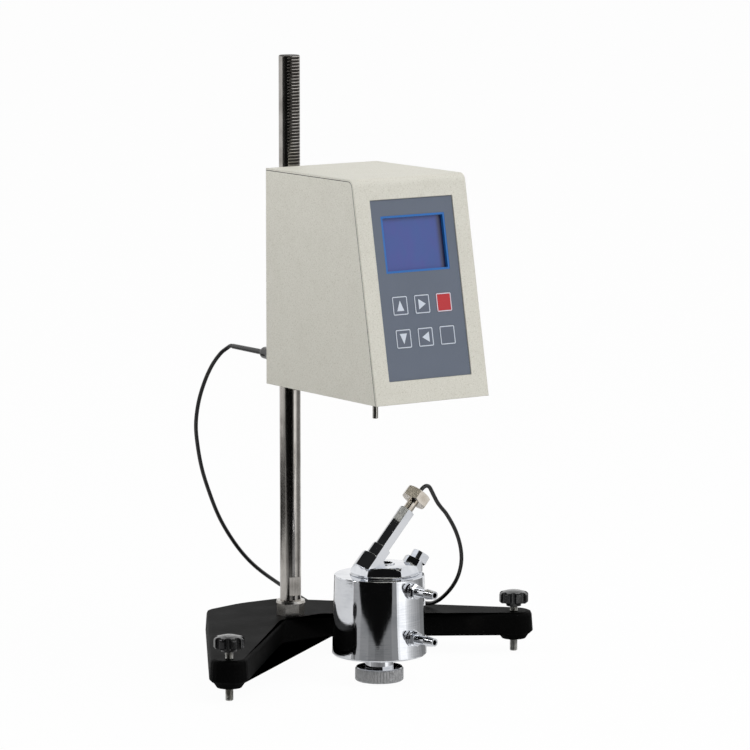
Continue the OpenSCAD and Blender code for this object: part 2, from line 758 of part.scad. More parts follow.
// Two slotted light gates, one over each disc's rim
module light_gate(rim_r, z, from_z, to_z) {
    difference() {
        translate([rim_r - 5, -5, min(from_z, z - 4)]) cube([12, 10, max(to_z, z + 5) - min(from_z, z - 4)]);
        translate([rim_r - 6, -6, z - 1.2]) cube([8, 12, disc_t + 2.4]);
    }
}
module disc_sensors() {
    color([0.12, 0.12, 0.12]) {
        light_gate(drive_disc_d / 2, drive_disc_z, drive_disc_z - 4, motor_plate_z);
        light_gate(pivot_disc_d / 2, pivot_disc_z, bridge_z + bridge_t, pivot_disc_z + 5);
    }
}

// ---- Lift ----------------------------------------------------------------------------------

bush_r = column_d / 2 + run_gap + bush_wall;
collar_r = bush_r + collar_wall;
bracket_low = 324;
bracket_top = bracket_low + bracket_h;
flange_t = 6;
flange_w = 74;
screw_d = 5;
neck_w = 34;
pinion_room = 1;
clamp_z = bracket_low + bush_l + clamp_knob_d / 2 + 1;
clamp_screw_d = 8;
knob_x = collar_r + 2;

module at_bracket_screws() {
    for (x = [-flange_w / 2 + 8, flange_w / 2 - 8]) for (z = [bracket_low + 10, bracket_top - 10])
        translate([x, back_y, z]) rotate([-90, 0, 0]) children();
}

module lift_bracket() {
    color([0.25, 0.25, 0.26]) difference() {
        union() {
            translate([-flange_w / 2, back_y, bracket_low]) cube([flange_w, flange_t, bracket_h]);
            translate([-neck_w / 2, back_y + flange_t - 1, bracket_low]) cube([neck_w, back_gap - flange_t + 1, bracket_h]);
            at_column() translate([0, 0, bracket_low]) cylinder(r = collar_r, h = bracket_h);
        }
        at_column() translate([0, 0, bracket_low - 1]) cylinder(r = bush_r + fit_gap, h = bracket_h + 2);
        // Pinion chamber and the shaft's bore
        translate([-pinion_w / 2 - pinion_room, pinion_y, pinion_z]) rotate([0, 90, 0])
            cylinder(r = pinion_r + rack_module + 1, h = pinion_w + 2 * pinion_room);
        translate([-collar_r - 1, pinion_y, pinion_z]) rotate([0, 90, 0])
            cylinder(d = pinion_shaft_d + 2 * run_gap, h = 2 * collar_r + 2);
        translate([0, column_reach, clamp_z]) rotate([0, 90, 0])
            cylinder(d = clamp_screw_d + 2 * run_gap, h = collar_r + 1);
        at_bracket_screws() translate([0, 0, -1]) cylinder(d = screw_d + 2 * fit_gap, h = flange_t + 2);
    }
}

module guide_bush(z) {
    color(bronze) at_column() translate([0, 0, z]) ring(bush_r, column_d / 2 + run_gap, bush_l);
}
module upper_bush() { guide_bush(bracket_top - bush_l); }
module lower_bush() { guide_bush(bracket_low); }

module bracket_screws() {
    color(zinc) at_bracket_screws() difference() {
        union() {
            translate([0, 0, flange_t]) cylinder(d = 8.5, h = 5);
            translate([0, 0, -shell_t - 2]) cylinder(d = screw_d, h = flange_t + shell_t + 3);
        }
        translate([0, 0, flange_t + 2.2]) cylinder(d = 4.6, h = 5, $fn = 6);
    }
}

function inv_deg(a) = tan(a) * 180 / PI - a;
base_circle = pinion_r * cos(20);
function tooth_half(r) = 90 / pinion_teeth + inv_deg(20) - inv_deg(acos(min(1, base_circle / r))) - 0.45;

module pinion_shaft() {
    radii = [pinion_r - 1.2 * rack_module, base_circle + 0.02, pinion_r, pinion_r + rack_module * 0.5, pinion_r + rack_module * 0.97];
    step = 360 / pinion_teeth;
    color(steel) translate([0, pinion_y, pinion_z]) rotate([0, 90, 0]) {
        translate([0, 0, -pinion_w / 2]) linear_extrude(pinion_w) polygon([for (i = [0:pinion_teeth - 1]) for (k = [-4:4])
            if (k != 0) let(r = radii[4 - abs(k)], a = 90 + i * step + sign(k) * tooth_half(max(r, base_circle + 0.02)))
                r * [cos(a), sin(a)]]);
        translate([0, 0, -collar_r]) cylinder(d = pinion_shaft_d, h = collar_r + knob_x + 12);
    }
}

module side_knob(d, h, y, z, bore) {
    color(moulded_black) translate([knob_x, y, z]) rotate([0, 90, 0]) difference() {
        fluted_knob(d, h, 0.5 * d, 3, 10, 0.09 * d, -0.03 * d);
        translate([0, 0, -1]) cylinder(d = bore, h = 13);
    }
}
module lift_knob() { side_knob(lift_knob_d, 20, pinion_y, pinion_z, pinion_shaft_d + 2 * fit_gap); }

pad_t = 4;
module brake_pad() {
    color([0.85, 0.85, 0.8]) translate([column_d / 2 + run_gap, column_reach, clamp_z]) rotate([0, 90, 0])
        cylinder(d = clamp_screw_d, h = pad_t);
}

module clamp_knob() {
    start = column_d / 2 + run_gap + pad_t;
    side_knob(clamp_knob_d, 14, column_reach, clamp_z, 4);
    color(zinc) translate([start, column_reach, clamp_z]) rotate([0, 90, 0]) {
        cylinder(d = clamp_screw_d, h = knob_x - start);
        cylinder(d = 4, h = knob_x - start + 12);
    }
}

// ---- Probe lead ------------------------------------------------------------------------------

module lead_gland() {
    color(moulded_black) {
        translate([gland_x, back_y, gland_z]) rotate([-90, 0, 0]) difference() {
            union() {
                turned_hex(2 * gland_r + 4, 4, false);
                rotate_extrude() polygon(concat([[0, 3], [gland_r + 1, 3], [gland_r + 1, 12]],
                    arc([gland_r - 3, 14], 4, 0, 75, 4), [[boot_r + 0.3, gland_l], [0, gland_l]]));
                translate([0, 0, -shell_t - 5]) cylinder(r = gland_r - 1, h = shell_t + 5);
            }
            translate([0, 0, -shell_t - 6]) cylinder(r = lead_d / 2, h = 40);
        }
        translate([gland_x, back_y - shell_t - 3, gland_z]) rotate([-90, 0, 0]) difference() {
            hex(2 * gland_r + 1, 3);
            translate([0, 0, -1]) cylinder(r = gland_r - 1 - fit_gap, h = 5);
        }
    }
}

module lead_boot() {
    color(moulded_black) translate([gland_x, back_y + gland_l, gland_z]) rotate([-90, 0, 0]) rotate_extrude()
        polygon([[0, 0], [boot_r, 0], [boot_r, 4], [boot_r - 0.25, boot_l - 1], [boot_r - 0.7, boot_l], [0, boot_l]]);
}

// Round tube swept along a list of points
module swept(path, d, sides) {
    n = len(path);
    along = [for (i = [0:n - 1]) unit(path[min(i + 1, n - 1)] - path[max(i - 1, 0)])];
    frames = [for (i = 0, u = unit(cross(along[0], [0, 0, 1])); i < n;
        i = i + 1, u = i < n ? unit(u - along[i] * (u * along[i])) : u) [u, cross(along[i], u)]];
    polyhedron(
        points = [for (i = [0:n - 1]) for (k = [0:sides - 1])
            path[i] + d / 2 * (cos(360 / sides * k) * frames[i][0] + sin(360 / sides * k) * frames[i][1])],
        faces = concat([[for (k = [sides - 1:-1:0]) k]],
            [for (i = [0:n - 2]) for (k = [0:sides - 1]) for (half = [0, 1])
                let(j = (k + 1) % sides, low = i * sides, high = (i + 1) * sides)
                half == 0 ? [low + k, low + j, high + j] : [low + k, high + j, high + k]],
            [[for (k = [0:sides - 1]) (n - 1) * sides + k]]));
}

// Points halfway along a smooth curve, so that a route of hand-set points bends evenly
function eased(p) = [for (i = [0:len(p) - 1]) for (half = [0, 1]) if (half == 0 || i < len(p) - 1)
    half == 0 ? p[i] : i == 0 || i == len(p) - 2 ? (p[i] + p[i + 1]) / 2
        : (-p[i - 1] + 9 * p[i] + 9 * p[i + 1] - p[i + 2]) / 16];

// ---- Vessel -----------------------------------------------------------------------------------

jacket_top = jacket_bottom + jacket_h;
jacket_top_r = jacket_r - jacket_taper;
neck_r = 14;
neck_bottom = 3.2;
plate_t = 3;
well_outer = well_r + well_wall;
well_lip = 3;
well_lip_t = 1.5;
well_floor = jacket_bottom + 12;
seat_r = 7.5;
seat_reach = jacket_r + 0.8;
nozzle_z = [jacket_bottom + 21.4, jacket_top - 11.1];
spigot_r = 4;

module at_vessel() { translate([vessel_x, -vessel_y, 0]) children(); }
module at_well() { at_vessel() translate([well_shift, 0, 0]) children(); }
module at_nozzle(i) { at_vessel() rotate(nozzle_heading) translate([0, 0, nozzle_z[i]]) rotate([0, 90, 0]) children(); }

module jacket_shell() {
    color(chrome) difference() {
        union() {
            at_vessel() rotate_extrude() polygon([[0, neck_bottom], [neck_r, neck_bottom], [neck_r, jacket_bottom],
                [jacket_r - 1.5, jacket_bottom], [jacket_r, jacket_bottom + 1.5], [jacket_top_r, jacket_top - 0.6],
                [jacket_top_r - 0.6, jacket_top], [0, jacket_top]]);
            at_vessel() translate([0, 0, jacket_bottom - 6]) hex(2 * neck_r + 3, 6);
            for (i = [0, 1]) at_nozzle(i) translate([0, 0, jacket_r - 6]) cylinder(r = seat_r + 1, h = seat_reach - jacket_r + 6);
        }
        // Water space between the jacket and the well
        at_vessel() rotate_extrude() polygon([[0, jacket_bottom + plate_t], [jacket_r - jacket_wall, jacket_bottom + plate_t],
            [jacket_top_r - jacket_wall, jacket_top - plate_t], [0, jacket_top - plate_t]]);
        at_vessel() translate([0, 0, neck_bottom - 1]) cylinder(r = neck_r - 4, h = jacket_bottom);
        at_well() translate([0, 0, jacket_top - plate_t - 1]) cylinder(r = well_outer + fit_gap, h = plate_t + 2);
        for (i = [0, 1]) at_nozzle(i) translate([0, 0, jacket_r - 12]) cylinder(r = spigot_r + fit_gap, h = 20);
    }
}

module sample_well() {
    color(steel) at_well() rotate_extrude() polygon([[0, well_floor], [well_outer - 2, well_floor],
        [well_outer, well_floor + 2], [well_outer, jacket_top], [well_outer + well_lip, jacket_top],
        [well_outer + well_lip, jacket_top + well_lip_t], [well_r, jacket_top + well_lip_t],
        [well_r, well_floor + 4], [well_r - 2, well_floor + 2], [0, well_floor + 2]]);
}

lid_flange_t = 3;
lid_af = 60;
lid_top = jacket_top + 9.5;
collar_ring_h = 1.2;
seal_r = 24;
seal_t = 1;
face_turn = -35;
port_lean = 35;
port_at = [45, 0, 12];              // middle of the port plug, from the vessel axis and the jacket's top
port_r = 10;
port_af = 16.5;
port_seat = -4;

module at_port() {
    at_vessel() translate([port_at[0], -3, jacket_top + port_at[2]]) rotate([0, port_lean, 0]) children();
}

module vessel_lid() {
    chamfer = 1.5;
    color(chrome) difference() {
        union() {
            at_well() {
                translate([0, 0, jacket_top]) rotate_extrude() polygon([[0, 0], [lid_r - 1, 0], [lid_r, 1],
                    [lid_r, lid_flange_t - 1], [lid_r - 1.5, lid_flange_t + 0.5], [0, lid_flange_t + 0.5]]);
                rotate(face_turn + 90) translate([0, 0, jacket_top + 1]) intersection() {
                    hex(lid_af, lid_top - jacket_top - 1);
                    rotate_extrude() polygon([[0, 0], [50, 0], [50, 3], [lid_af / 2 - 0.5, lid_top - jacket_top - 1], [0, lid_top - jacket_top - 1]]);
                }
            }
            difference() {
                at_well() translate([0, 0, lid_top - 1]) cylinder(r = lid_hole_r + 2.2, h = collar_ring_h + 1);
                at_boss() translate([0, 0, -boss_l]) rotate(30) hex(boss_af + 2 * fit_gap, boss_l);
            }
            // Inclined boss of the plugged port, flush with the jacket's side
            intersection() {
                at_port() translate([0, 0, -30]) cylinder(r = port_r, h = 30 + port_seat);
                at_vessel() translate([0, 0, jacket_top]) cylinder(r = jacket_top_r - 0.6, h = 40);
            }
        }
        at_well() {
            translate([0, 0, jacket_top - 1]) cylinder(r = lid_hole_r, h = 30);
            translate([0, 0, jacket_top - 1]) cylinder(r = well_outer + well_lip + fit_gap, h = 1 + well_lip_t);
            translate([0, 0, jacket_top - 1]) ring(seal_r + seal_t, seal_r - seal_t, 1 + 2 * seal_t - 0.1);
        }
        at_port() translate([0, 0, port_seat - 9]) cylinder(r = 4 + fit_gap, h = 20);
        at_boss() translate([0, 0, -boss_l]) cylinder(d = probe_d - 2 + 2 * fit_gap, h = boss_l);
    }
}

module lid_seal() {
    color(moulded_black) at_well() translate([0, 0, jacket_top + seal_t - 0.05]) rotate_extrude()
        translate([seal_r, 0]) circle(r = seal_t - 0.06, $fn = 16);
}

module foot_nut() {
    teeth = 48;
    color(chrome) at_vessel() difference() {
        intersection() {
            linear_extrude(foot_nut_h) polygon([for (i = [0:2 * teeth - 1])
                (foot_nut_r - (i % 2) * 0.5) * [cos(180 / teeth * i), sin(180 / teeth * i)]]);
            rotate_extrude() polygon([[0, 0], [foot_nut_r - 1.2, 0], [foot_nut_r + 0.2, 1.2],
                [foot_nut_r + 0.2, foot_nut_h - 2], [foot_nut_r - 1.2, foot_nut_h], [0, foot_nut_h]]);
        }
        translate([0, 0, neck_bottom]) cylinder(r = neck_r + run_gap, h = foot_nut_h);
    }
}

boss_l = 17;
boss_top = [-8, -3, 17];            // centre of the boss nut's outer face, from the vessel axis and the jacket's top
sleeve_foot_l = 13;
sleeve_af = 14.5;
sleeve_foot_af = 18;
tube_show = 10.5;
probe_nut_h = 11;
probe_nut_af = 24;
sleeve_top = sleeve_foot_l + sleeve_l;

module at_boss() {
    at_vessel() translate([boss_top[0], boss_top[1], jacket_top + boss_top[2]]) rotate([0, probe_lean, 0]) children();
}

module probe_boss() {
    color(chrome) intersection() {
        difference() {
            at_boss() translate([0, 0, -boss_l]) rotate(30) turned_hex(boss_af, boss_l, false);
            at_boss() translate([0, 0, -boss_l - 1]) cylinder(d = probe_d - 2 + 2 * fit_gap, h = boss_l + 2);
        }
        at_well() translate([0, 0, lid_top]) cylinder(r = lid_r, h = 40);
    }
}

module probe_sleeve() {
    color(chrome) at_boss() difference() {
        union() {
            rotate(30) turned_hex(sleeve_foot_af, sleeve_foot_l);
            rotate(30) hex(sleeve_af, sleeve_top);
        }
        translate([0, 0, -1]) cylinder(d = probe_d + 2 * fit_gap, h = sleeve_top + 2);
    }
}

module probe_tube() {
    color(nickel) at_boss() {
        cylinder(d = probe_d, h = sleeve_top + tube_show + 4);
        translate([0, 0, -boss_l + 5]) cylinder(d = probe_d - 2, h = boss_l);
    }
}

module probe_nut() {
    color(nickel) at_boss() translate([0, 0, sleeve_top + tube_show]) difference() {
        turned_hex(probe_nut_af, probe_nut_h);
        translate([0, 0, -1]) cylinder(d = probe_d + 2 * fit_gap, h = 5);
    }
}

module port_plug() {
    color(chrome) at_port() translate([0, 0, port_seat]) {
        turned_hex(port_af, 9, false);
        translate([0, 0, -7]) cylinder(r = 4, h = 8);
    }
}

module hose_nozzle(i) {
    color(chrome) at_nozzle(i) translate([0, 0, seat_reach]) difference() {
        union() {
            rotate_extrude() polygon([[0, -8], [spigot_r, -8], [spigot_r, 0], [seat_r, 0], [seat_r, 1.2],
                [seat_r - 1, 2], [4.2, 2], [4.2, nozzle_l - 12], [3.9, nozzle_l - 11], [5.2, nozzle_l - 9.5],
                [4, nozzle_l], [0, nozzle_l]]);
            turned_hex(12.5, 6.5);
        }
        translate([0, 0, -9]) cylinder(r = nozzle_bore_r, h = nozzle_l + 10);
    }
}
module upper_nozzle() { hose_nozzle(1); }
module lower_nozzle() { hose_nozzle(0); }

// ---- Leads ----------------------------------------------------------------------------------

// A point on the probe's axis, measured from the outer face of its nut
function on_probe(t) = [vessel_x, -vessel_y, jacket_top] + boss_top
    + (sleeve_top + tube_show + probe_nut_h + t) * [sin(probe_lean), 0, cos(probe_lean)];

head_route = [[-57, 165.8, 314], [-57, 168.6, 314], [-58, 173, 311.6], [-62.6, 179, 305.4], [-66.2, 189, 292.7],
    [-68.8, 199, 275], [-70.2, 208, 253.5], [-68.9, 215, 230.5], [-63.9, 220, 208.5], [-56.5, 224, 184],
    [-46, 228, 160], [-32.6, 232, 134], [-17.6, 235, 111.5], [0.5, 238, 90], [20.8, 241, 71.7],
    [49, 245, 52.3], [72, 249, 38.5], [93, 252, 25.5], [110, 252.5, 14], [126, 250, 6], [141, 243, 2.8],
    [152, 232, 2.4], [158, 219, 2.4], [159, 208, 2.4]];
vessel_route = [[159, 208, 2.4], [155, 199, 2.4], [147, 188, 2.4], [138.5, 176.5, 2.5], [131, 165, 3.5],
    [127.5, 157, 9], [127.2, 149.6, 20], [128.2, 143.9, 31.5], [129.4, 136.4, 42], [131.5, 125.5, 44.3],
    [134.5, 113.5, 44], [137.8, 101.5, 44.8], [139.1, 90, 49.5], [141, 79, 57.8], [142, 68, 68.5],
    [140.2, 57, 80.6], [136.3, 47, 94.3], [129, 37, 108.2], [118.6, 27, 123.4], [106.2, 18, 138.4],
    [92.4, 11, 153.3], [84.6, 8, 160.2], [77.5, 5, 166.8], [71.5, 2, 173.7], [66.3, -0.6, 180.2],
    [62, -2.6, 185], [57.8, -3.5, 186.4], [54.5, -3.9, 185.5], on_probe(3.8), on_probe(0.3)];

module head_lead() { color(moulded_black) swept(eased(head_route), lead_d, 8); }
module vessel_lead() { color(moulded_black) swept(eased(vessel_route), lead_d, 8); }

// ---- Assembly -----------------------------------------------------------------------------------

base_casting();
rear_foot();
column();
column_nut();
under_nut();
left_stud();
left_knob();
right_stud();
right_knob();
front_cover();
side_shell();
bottom_plate();
keypad_panel();
panel_plate();
display_frame();
display_module();
key_up();
key_right();
key_red();
key_down();
key_left();
key_blank();
main_board();
power_board();
power_inlet();
power_rocker();
lower_posts();
upper_posts();
lower_bridge();
motor_plate();
gear_motor();
drive_hub();
torsion_spring();
pivot_shaft();
lower_bearing();
disc_sensors();
lift_bracket();
upper_bush();
lower_bush();
bracket_screws();
pinion_shaft();
lift_knob();
brake_pad();
clamp_knob();
lead_gland();
lead_boot();
head_lead();
vessel_lead();
jacket_shell();
sample_well();
vessel_lid();
lid_seal();
foot_nut();
probe_boss();
probe_sleeve();
probe_tube();
probe_nut();
port_plug();
upper_nozzle();
lower_nozzle();
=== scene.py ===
"""A bench rotational viscometer with its rack stand and jacketed vessel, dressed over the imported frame."""

import json
import logging
import math
from collections.abc import Sequence
from dataclasses import dataclass
from enum import Enum

import bmesh
import bpy
from bmesh.types import BMesh
from bpy.types import Material, Node, NodeSocket, Object
from mathutils import Matrix, Vector

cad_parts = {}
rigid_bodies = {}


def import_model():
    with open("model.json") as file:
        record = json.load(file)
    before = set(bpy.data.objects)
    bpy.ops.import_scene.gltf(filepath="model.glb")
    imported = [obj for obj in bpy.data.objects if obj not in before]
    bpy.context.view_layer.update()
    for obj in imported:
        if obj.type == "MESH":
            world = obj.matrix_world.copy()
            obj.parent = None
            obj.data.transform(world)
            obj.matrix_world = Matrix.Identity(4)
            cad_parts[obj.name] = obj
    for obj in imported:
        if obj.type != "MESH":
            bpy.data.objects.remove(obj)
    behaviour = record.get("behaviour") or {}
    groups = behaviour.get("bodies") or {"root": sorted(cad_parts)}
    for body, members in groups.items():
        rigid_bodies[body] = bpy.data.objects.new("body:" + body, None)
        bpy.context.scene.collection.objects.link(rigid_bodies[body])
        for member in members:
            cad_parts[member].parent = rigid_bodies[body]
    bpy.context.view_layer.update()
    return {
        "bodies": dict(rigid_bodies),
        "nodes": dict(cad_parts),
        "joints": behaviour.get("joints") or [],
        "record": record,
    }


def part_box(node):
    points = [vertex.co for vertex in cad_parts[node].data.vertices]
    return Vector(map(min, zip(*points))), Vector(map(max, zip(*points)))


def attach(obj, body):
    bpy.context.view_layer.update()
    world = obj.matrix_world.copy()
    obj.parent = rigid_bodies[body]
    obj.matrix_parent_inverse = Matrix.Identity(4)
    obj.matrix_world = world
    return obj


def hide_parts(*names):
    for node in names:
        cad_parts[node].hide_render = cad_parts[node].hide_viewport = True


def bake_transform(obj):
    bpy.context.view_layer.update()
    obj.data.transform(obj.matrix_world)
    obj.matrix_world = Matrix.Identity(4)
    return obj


LOG = logging.getLogger("viscometer")
MM = 0.001
Pair = tuple[float, float]
Triple = tuple[float, float, float]
Profile = tuple[Pair, ...]
Colour = tuple[float, float, float, float]
WHITE: Colour = (1.0, 1.0, 1.0, 1.0)
KEYS = ("up", "right", "red", "down", "left", "blank")
# The probe's foot in millimetres, its lean in degrees and how far up its axis its nut ends
PROBE_FOOT = (-4.0, -4.0, 121.5)
PROBE_LEAN = 42.0
PROBE_END = 79.5


def paint(red: int, green: int, blue: int) -> Colour:
    """Turns a colour as a swatch card gives it into a shader's linear colour.

    Args:
        red: Red, 0 to 255.
        green: Green, 0 to 255.
        blue: Blue, 0 to 255.

    Returns:
        The linear colour with full alpha.
    """
    def linear(value: int) -> float:
        """One channel on the linear scale."""
        part = value / 255
        return part / 12.92 if part <= 0.04045 else ((part + 0.055) / 1.055) ** 2.4

    return linear(red), linear(green), linear(blue), 1.0


# Shader maths


class Field:
    """A number that varies over a surface. Arithmetic on it adds Math nodes."""

    def __init__(self, shader: "Shader", socket: NodeSocket) -> None:
        """Keeps the shader that it belongs to and its output socket."""
        self.shader = shader
        self.socket = socket

    def _sum(self, operation: str, *values: "Field | float", clamp: bool = False) -> "Field":
        """Adds one Math node on values. With clamp its result is held between 0 and 1."""
        inputs = dict(enumerate(values))
        made = self.shader.node("ShaderNodeMath", inputs, operation=operation, use_clamp=clamp)
        return Field(self.shader, made.outputs[0])

    def __add__(self, other: "Field | float") -> "Field":
        """This plus other."""
        return self._sum("ADD", self, other)

    def __radd__(self, other: float) -> "Field":
        """Other plus this."""
        return self._sum("ADD", other, self)

    def __sub__(self, other: "Field | float") -> "Field":
        """This less other."""
        return self._sum("SUBTRACT", self, other)

    def __rsub__(self, other: float) -> "Field":
        """Other less this."""
        return self._sum("SUBTRACT", other, self)

    def __mul__(self, other: "Field | float") -> "Field":
        """This times other."""
        return self._sum("MULTIPLY", self, other)

    def __rmul__(self, other: float) -> "Field":
        """Other times this."""
        return self._sum("MULTIPLY", other, self)

    def __truediv__(self, other: "Field | float") -> "Field":
        """This over other."""
        return self._sum("DIVIDE", self, other)

    def clamped(self) -> "Field":
        """This held between 0 and 1."""
        return self._sum("ADD", self, 0.0, clamp=True)

    def most(self, other: "Field | float") -> "Field":
        """The larger of this and other."""
        return self._sum("MAXIMUM", self, other)

    def step(self, low: float, high: float) -> "Field":
        """A smooth step from 0 at low to 1 at high. Where high is less than low, it falls instead."""
        rise = ((self - low) / (high - low)).clamped()
        return rise * rise * (3.0 - 2.0 * rise)


class Shader:
    """One node tree, of a material or of the world."""

    def __init__(self, name: str, world: bool = False) -> None:
        """Starts an empty tree.

        Args:
            name: The name of its material or world.
            world: Whether it is the world's.
        """
        self.owner = (bpy.data.worlds if world else bpy.data.materials).new(name)
        self.owner.use_nodes = True
        self.tree = self.owner.node_tree
        self.tree.nodes.clear()

    def node(self, kind: str, inputs: dict[int | str, object], **settings: object) -> Node:
        """Adds one node.

        Args:
            kind: The node's type.
            inputs: Fields, sockets or plain values by socket.
            settings: Its settings, set first.

        Returns:
            The node.
        """
        made = self.tree.nodes.new(kind)
        for name, value in settings.items():
            setattr(made, name, value)
        for key, value in inputs.items():
            if isinstance(value, Field):
                value = value.socket
            if isinstance(value, NodeSocket):
                self.tree.links.new(value, made.inputs[key])
            else:
                made.inputs[key].default_value = value
        return made

    def place(self) -> NodeSocket:
        """The point on the piece, in metres."""
        return self.node("ShaderNodeTexCoord", {}).outputs["Object"]

    def ray(self, kind: str) -> Field:
        """1 for the rays of a kind, such as Camera, and 0 for all others."""
        return Field(self, self.node("ShaderNodeLightPath", {}).outputs[f"Is {kind} Ray"])

    def axis(self, vector: NodeSocket, name: str) -> Field:
        """One component, X, Y or Z, of a vector."""
        return Field(self, self.node("ShaderNodeSeparateXYZ", {0: vector}).outputs[name])

    def stretch(self, vector: NodeSocket, by: Sequence[float]) -> NodeSocket:
        """A vector scaled by its own amount on each axis."""
        return self.node("ShaderNodeVectorMath", {0: vector, 1: tuple(by)}, operation="MULTIPLY").outputs[0]

    def noise(self, vector: NodeSocket, scale: float, detail: float = 2.0, rough: float = 0.5) -> Field:
        """Soft noise, about 0.5 on the average. Scale is in spots to a metre."""
        inputs = {"Vector": vector, "Scale": scale, "Detail": detail, "Roughness": rough}
        return Field(self, self.node("ShaderNodeTexNoise", inputs).outputs[0])

    def cells(self, vector: NodeSocket, scale: float) -> Field:
        """The distance to the nearest of many scattered points, scale points to a metre."""
        made = self.node("ShaderNodeTexVoronoi", {"Vector": vector, "Scale": scale})
        return Field(self, made.outputs["Distance"])

    def mix(self, mask: Field | float, low: object, high: object) -> NodeSocket:
        """Blends two colours: low where the mask is 0 and high where it is 1."""
        return self.node("ShaderNodeMix", {0: mask, 6: low, 7: high}, data_type="RGBA").outputs[2]

    def bump(self, height: Field, depth: float, strength: float = 1.0, under: object = None) -> NodeSocket:
        """The normal of a surface with small relief.

        Args:
            height: The relief, 0 to 1.
            depth: Its depth in metres.
            strength: How far it is used.
            under: A normal that it is laid on.

        Returns:
            The normal.
        """
        inputs = {"Height": height, "Distance": depth, "Strength": strength}
        if under is not None:
            inputs["Normal"] = under
        return self.node("ShaderNodeBump", inputs).outputs[0]

    def soft_edge(self, radius: float) -> NodeSocket:
        """The normal of a surface whose sharp edges are rounded off by radius, in metres."""
        return self.node("ShaderNodeBevel", {"Radius": radius}, samples=6).outputs[0]

    def worked(self, at: NodeSocket, marks: Sequence[float], colour: Colour,
               dull: Colour) -> tuple[Field, Field, NodeSocket]:
        """The look of machined metal.

        Args:
            at: The point on the piece.
            marks: Marks to a metre on each axis.
            colour: The clean metal.
            dull: The metal in its marks.

        Returns:
            The marks, the haze over them and their colour.
        """
        lines = self.noise(self.stretch(at, marks), 1.0, 3.0, 0.6)
        haze = self.noise(at, 60.0, 3.0)
        return lines, haze, self.mix((lines * 0.45 + haze * 0.55).step(0.42, 0.66), colour, dull)

    def close(self, **sockets: object) -> Material:
        """Ends the material in a Principled shader.

        Args:
            sockets: Its sockets by name, with underscores for spaces.

        Returns:
            The material.
        """
        values = {name.replace("_", " "): value for name, value in sockets.items()}
        body = self.node("ShaderNodeBsdfPrincipled", values)
        self.node("ShaderNodeOutputMaterial", {0: body.outputs[0]})
        return self.owner


# Finishes


@dataclass(frozen=True)
class PowderCoat:
    """Baked powder paint with fine flecks and a slight orange peel."""

    name: str = "cream_powder_coat"
    colour: Colour = paint(218, 216, 205)
    dark_fleck: Colour = paint(180, 176, 160)
    pale_fleck: Colour = paint(235, 233, 224)
    grain: float = 820.0
    toning: float = 0.55
    rough: float = 0.42
    relief: float = 0.00012
    edge: float = 0.0011

    def build(self) -> Material:
        """Makes the finish.

        Returns:
            Its material.
        """
        s = Shader(self.name)
        at = s.place()
        fine = s.noise(at, self.grain, 3.0, 0.65)
        broad = s.noise(at, 45.0, 2.0)
        tone = s.mix(fine.step(0.53, 0.68) * self.toning, self.colour, self.dark_fleck)
        tone = s.mix(fine.step(0.45, 0.31) * self.toning, tone, self.pale_fleck)
        tone = s.mix(broad.step(0.4, 0.75) * 0.08, tone, self.dark_fleck)
        peel = s.noise(at, 620.0, 2.0)
        return s.close(Base_Color=tone, Roughness=self.rough + fine * 0.22,
                       Normal=s.bump(peel, self.relief, 0.5, s.soft_edge(self.edge)))


@dataclass(frozen=True)
class Metal:
    """Bare or plated metal with its working marks."""

    name: str
    colour: Colour
    dull: Colour
    rough: float
    marks: Triple = (900.0, 900.0, 900.0)
    mark_depth: float = 0.000004
    wave: float = 0.0
    edge: float = 0.0003

    def build(self) -> Material:
        """Makes the finish.

        Returns:
            Its material.
        """
        s = Shader(self.name)
        at = s.place()
        lines, haze, tone = s.worked(at, self.marks, self.colour, self.dull)
        normal = s.bump(lines, self.mark_depth, 0.6, s.soft_edge(self.edge))
        if self.wave:
            normal = s.bump(s.noise(at, 38.0, 1.0), self.wave, 0.7, normal)
        rough = self.rough + (lines - 0.5) * self.rough * 0.8 + haze * 0.03
        return s.close(Base_Color=tone, Metallic=1.0, Roughness=rough, Normal=normal)


@dataclass(frozen=True)
class RackSteel:
    """A ground steel column, darkened between its rack teeth with grease and painted shade."""

    name: str = "ground_column_steel"
    colour: Colour = paint(188, 184, 179)
    dull: Colour = paint(150, 146, 141)
    grease_and_painted_shade: Colour = paint(46, 40, 35)
    axis_y: float = 149.0 * MM
    radius: float = 10.5 * MM
    tip: float = 0.45 * MM
    rack_from: float = 0.27
    marks: Triple = (2600.0, 2600.0, 30.0)
    rough: float = 0.12
    mark_depth: float = 0.000012
    edge: float = 0.0003

    def build(self) -> Material:
        """Makes the finish.

        Returns:
            Its material.
        """
        s = Shader(self.name)
        at = s.place()
        x, y, z = (s.axis(at, name) for name in "XYZ")
        back = y - self.axis_y
        inside = (x * x + back * back).step((self.radius - 0.06 * MM) ** 2, (self.radius - 0.2 * MM) ** 2)
        depth = (back + (self.radius - self.tip)).step(0.15 * MM, 1.3 * MM)
        rack = inside * depth * z.step(self.rack_from - 0.001, self.rack_from + 0.001)
        lines, _, tone = s.worked(at, self.marks, self.colour, self.dull)
        # Grease and painted shade: the tooth roots are darkened where shade falls in them
        tone = s.mix(rack * 0.92, tone, self.grease_and_painted_shade)
        rough = self.rough + lines * 0.06 + rack * 0.3
        return s.close(Base_Color=tone, Metallic=1.0 - rack * 0.6, Roughness=rough,
                       Normal=s.bump(lines, self.mark_depth, 0.6, s.soft_edge(self.edge)))


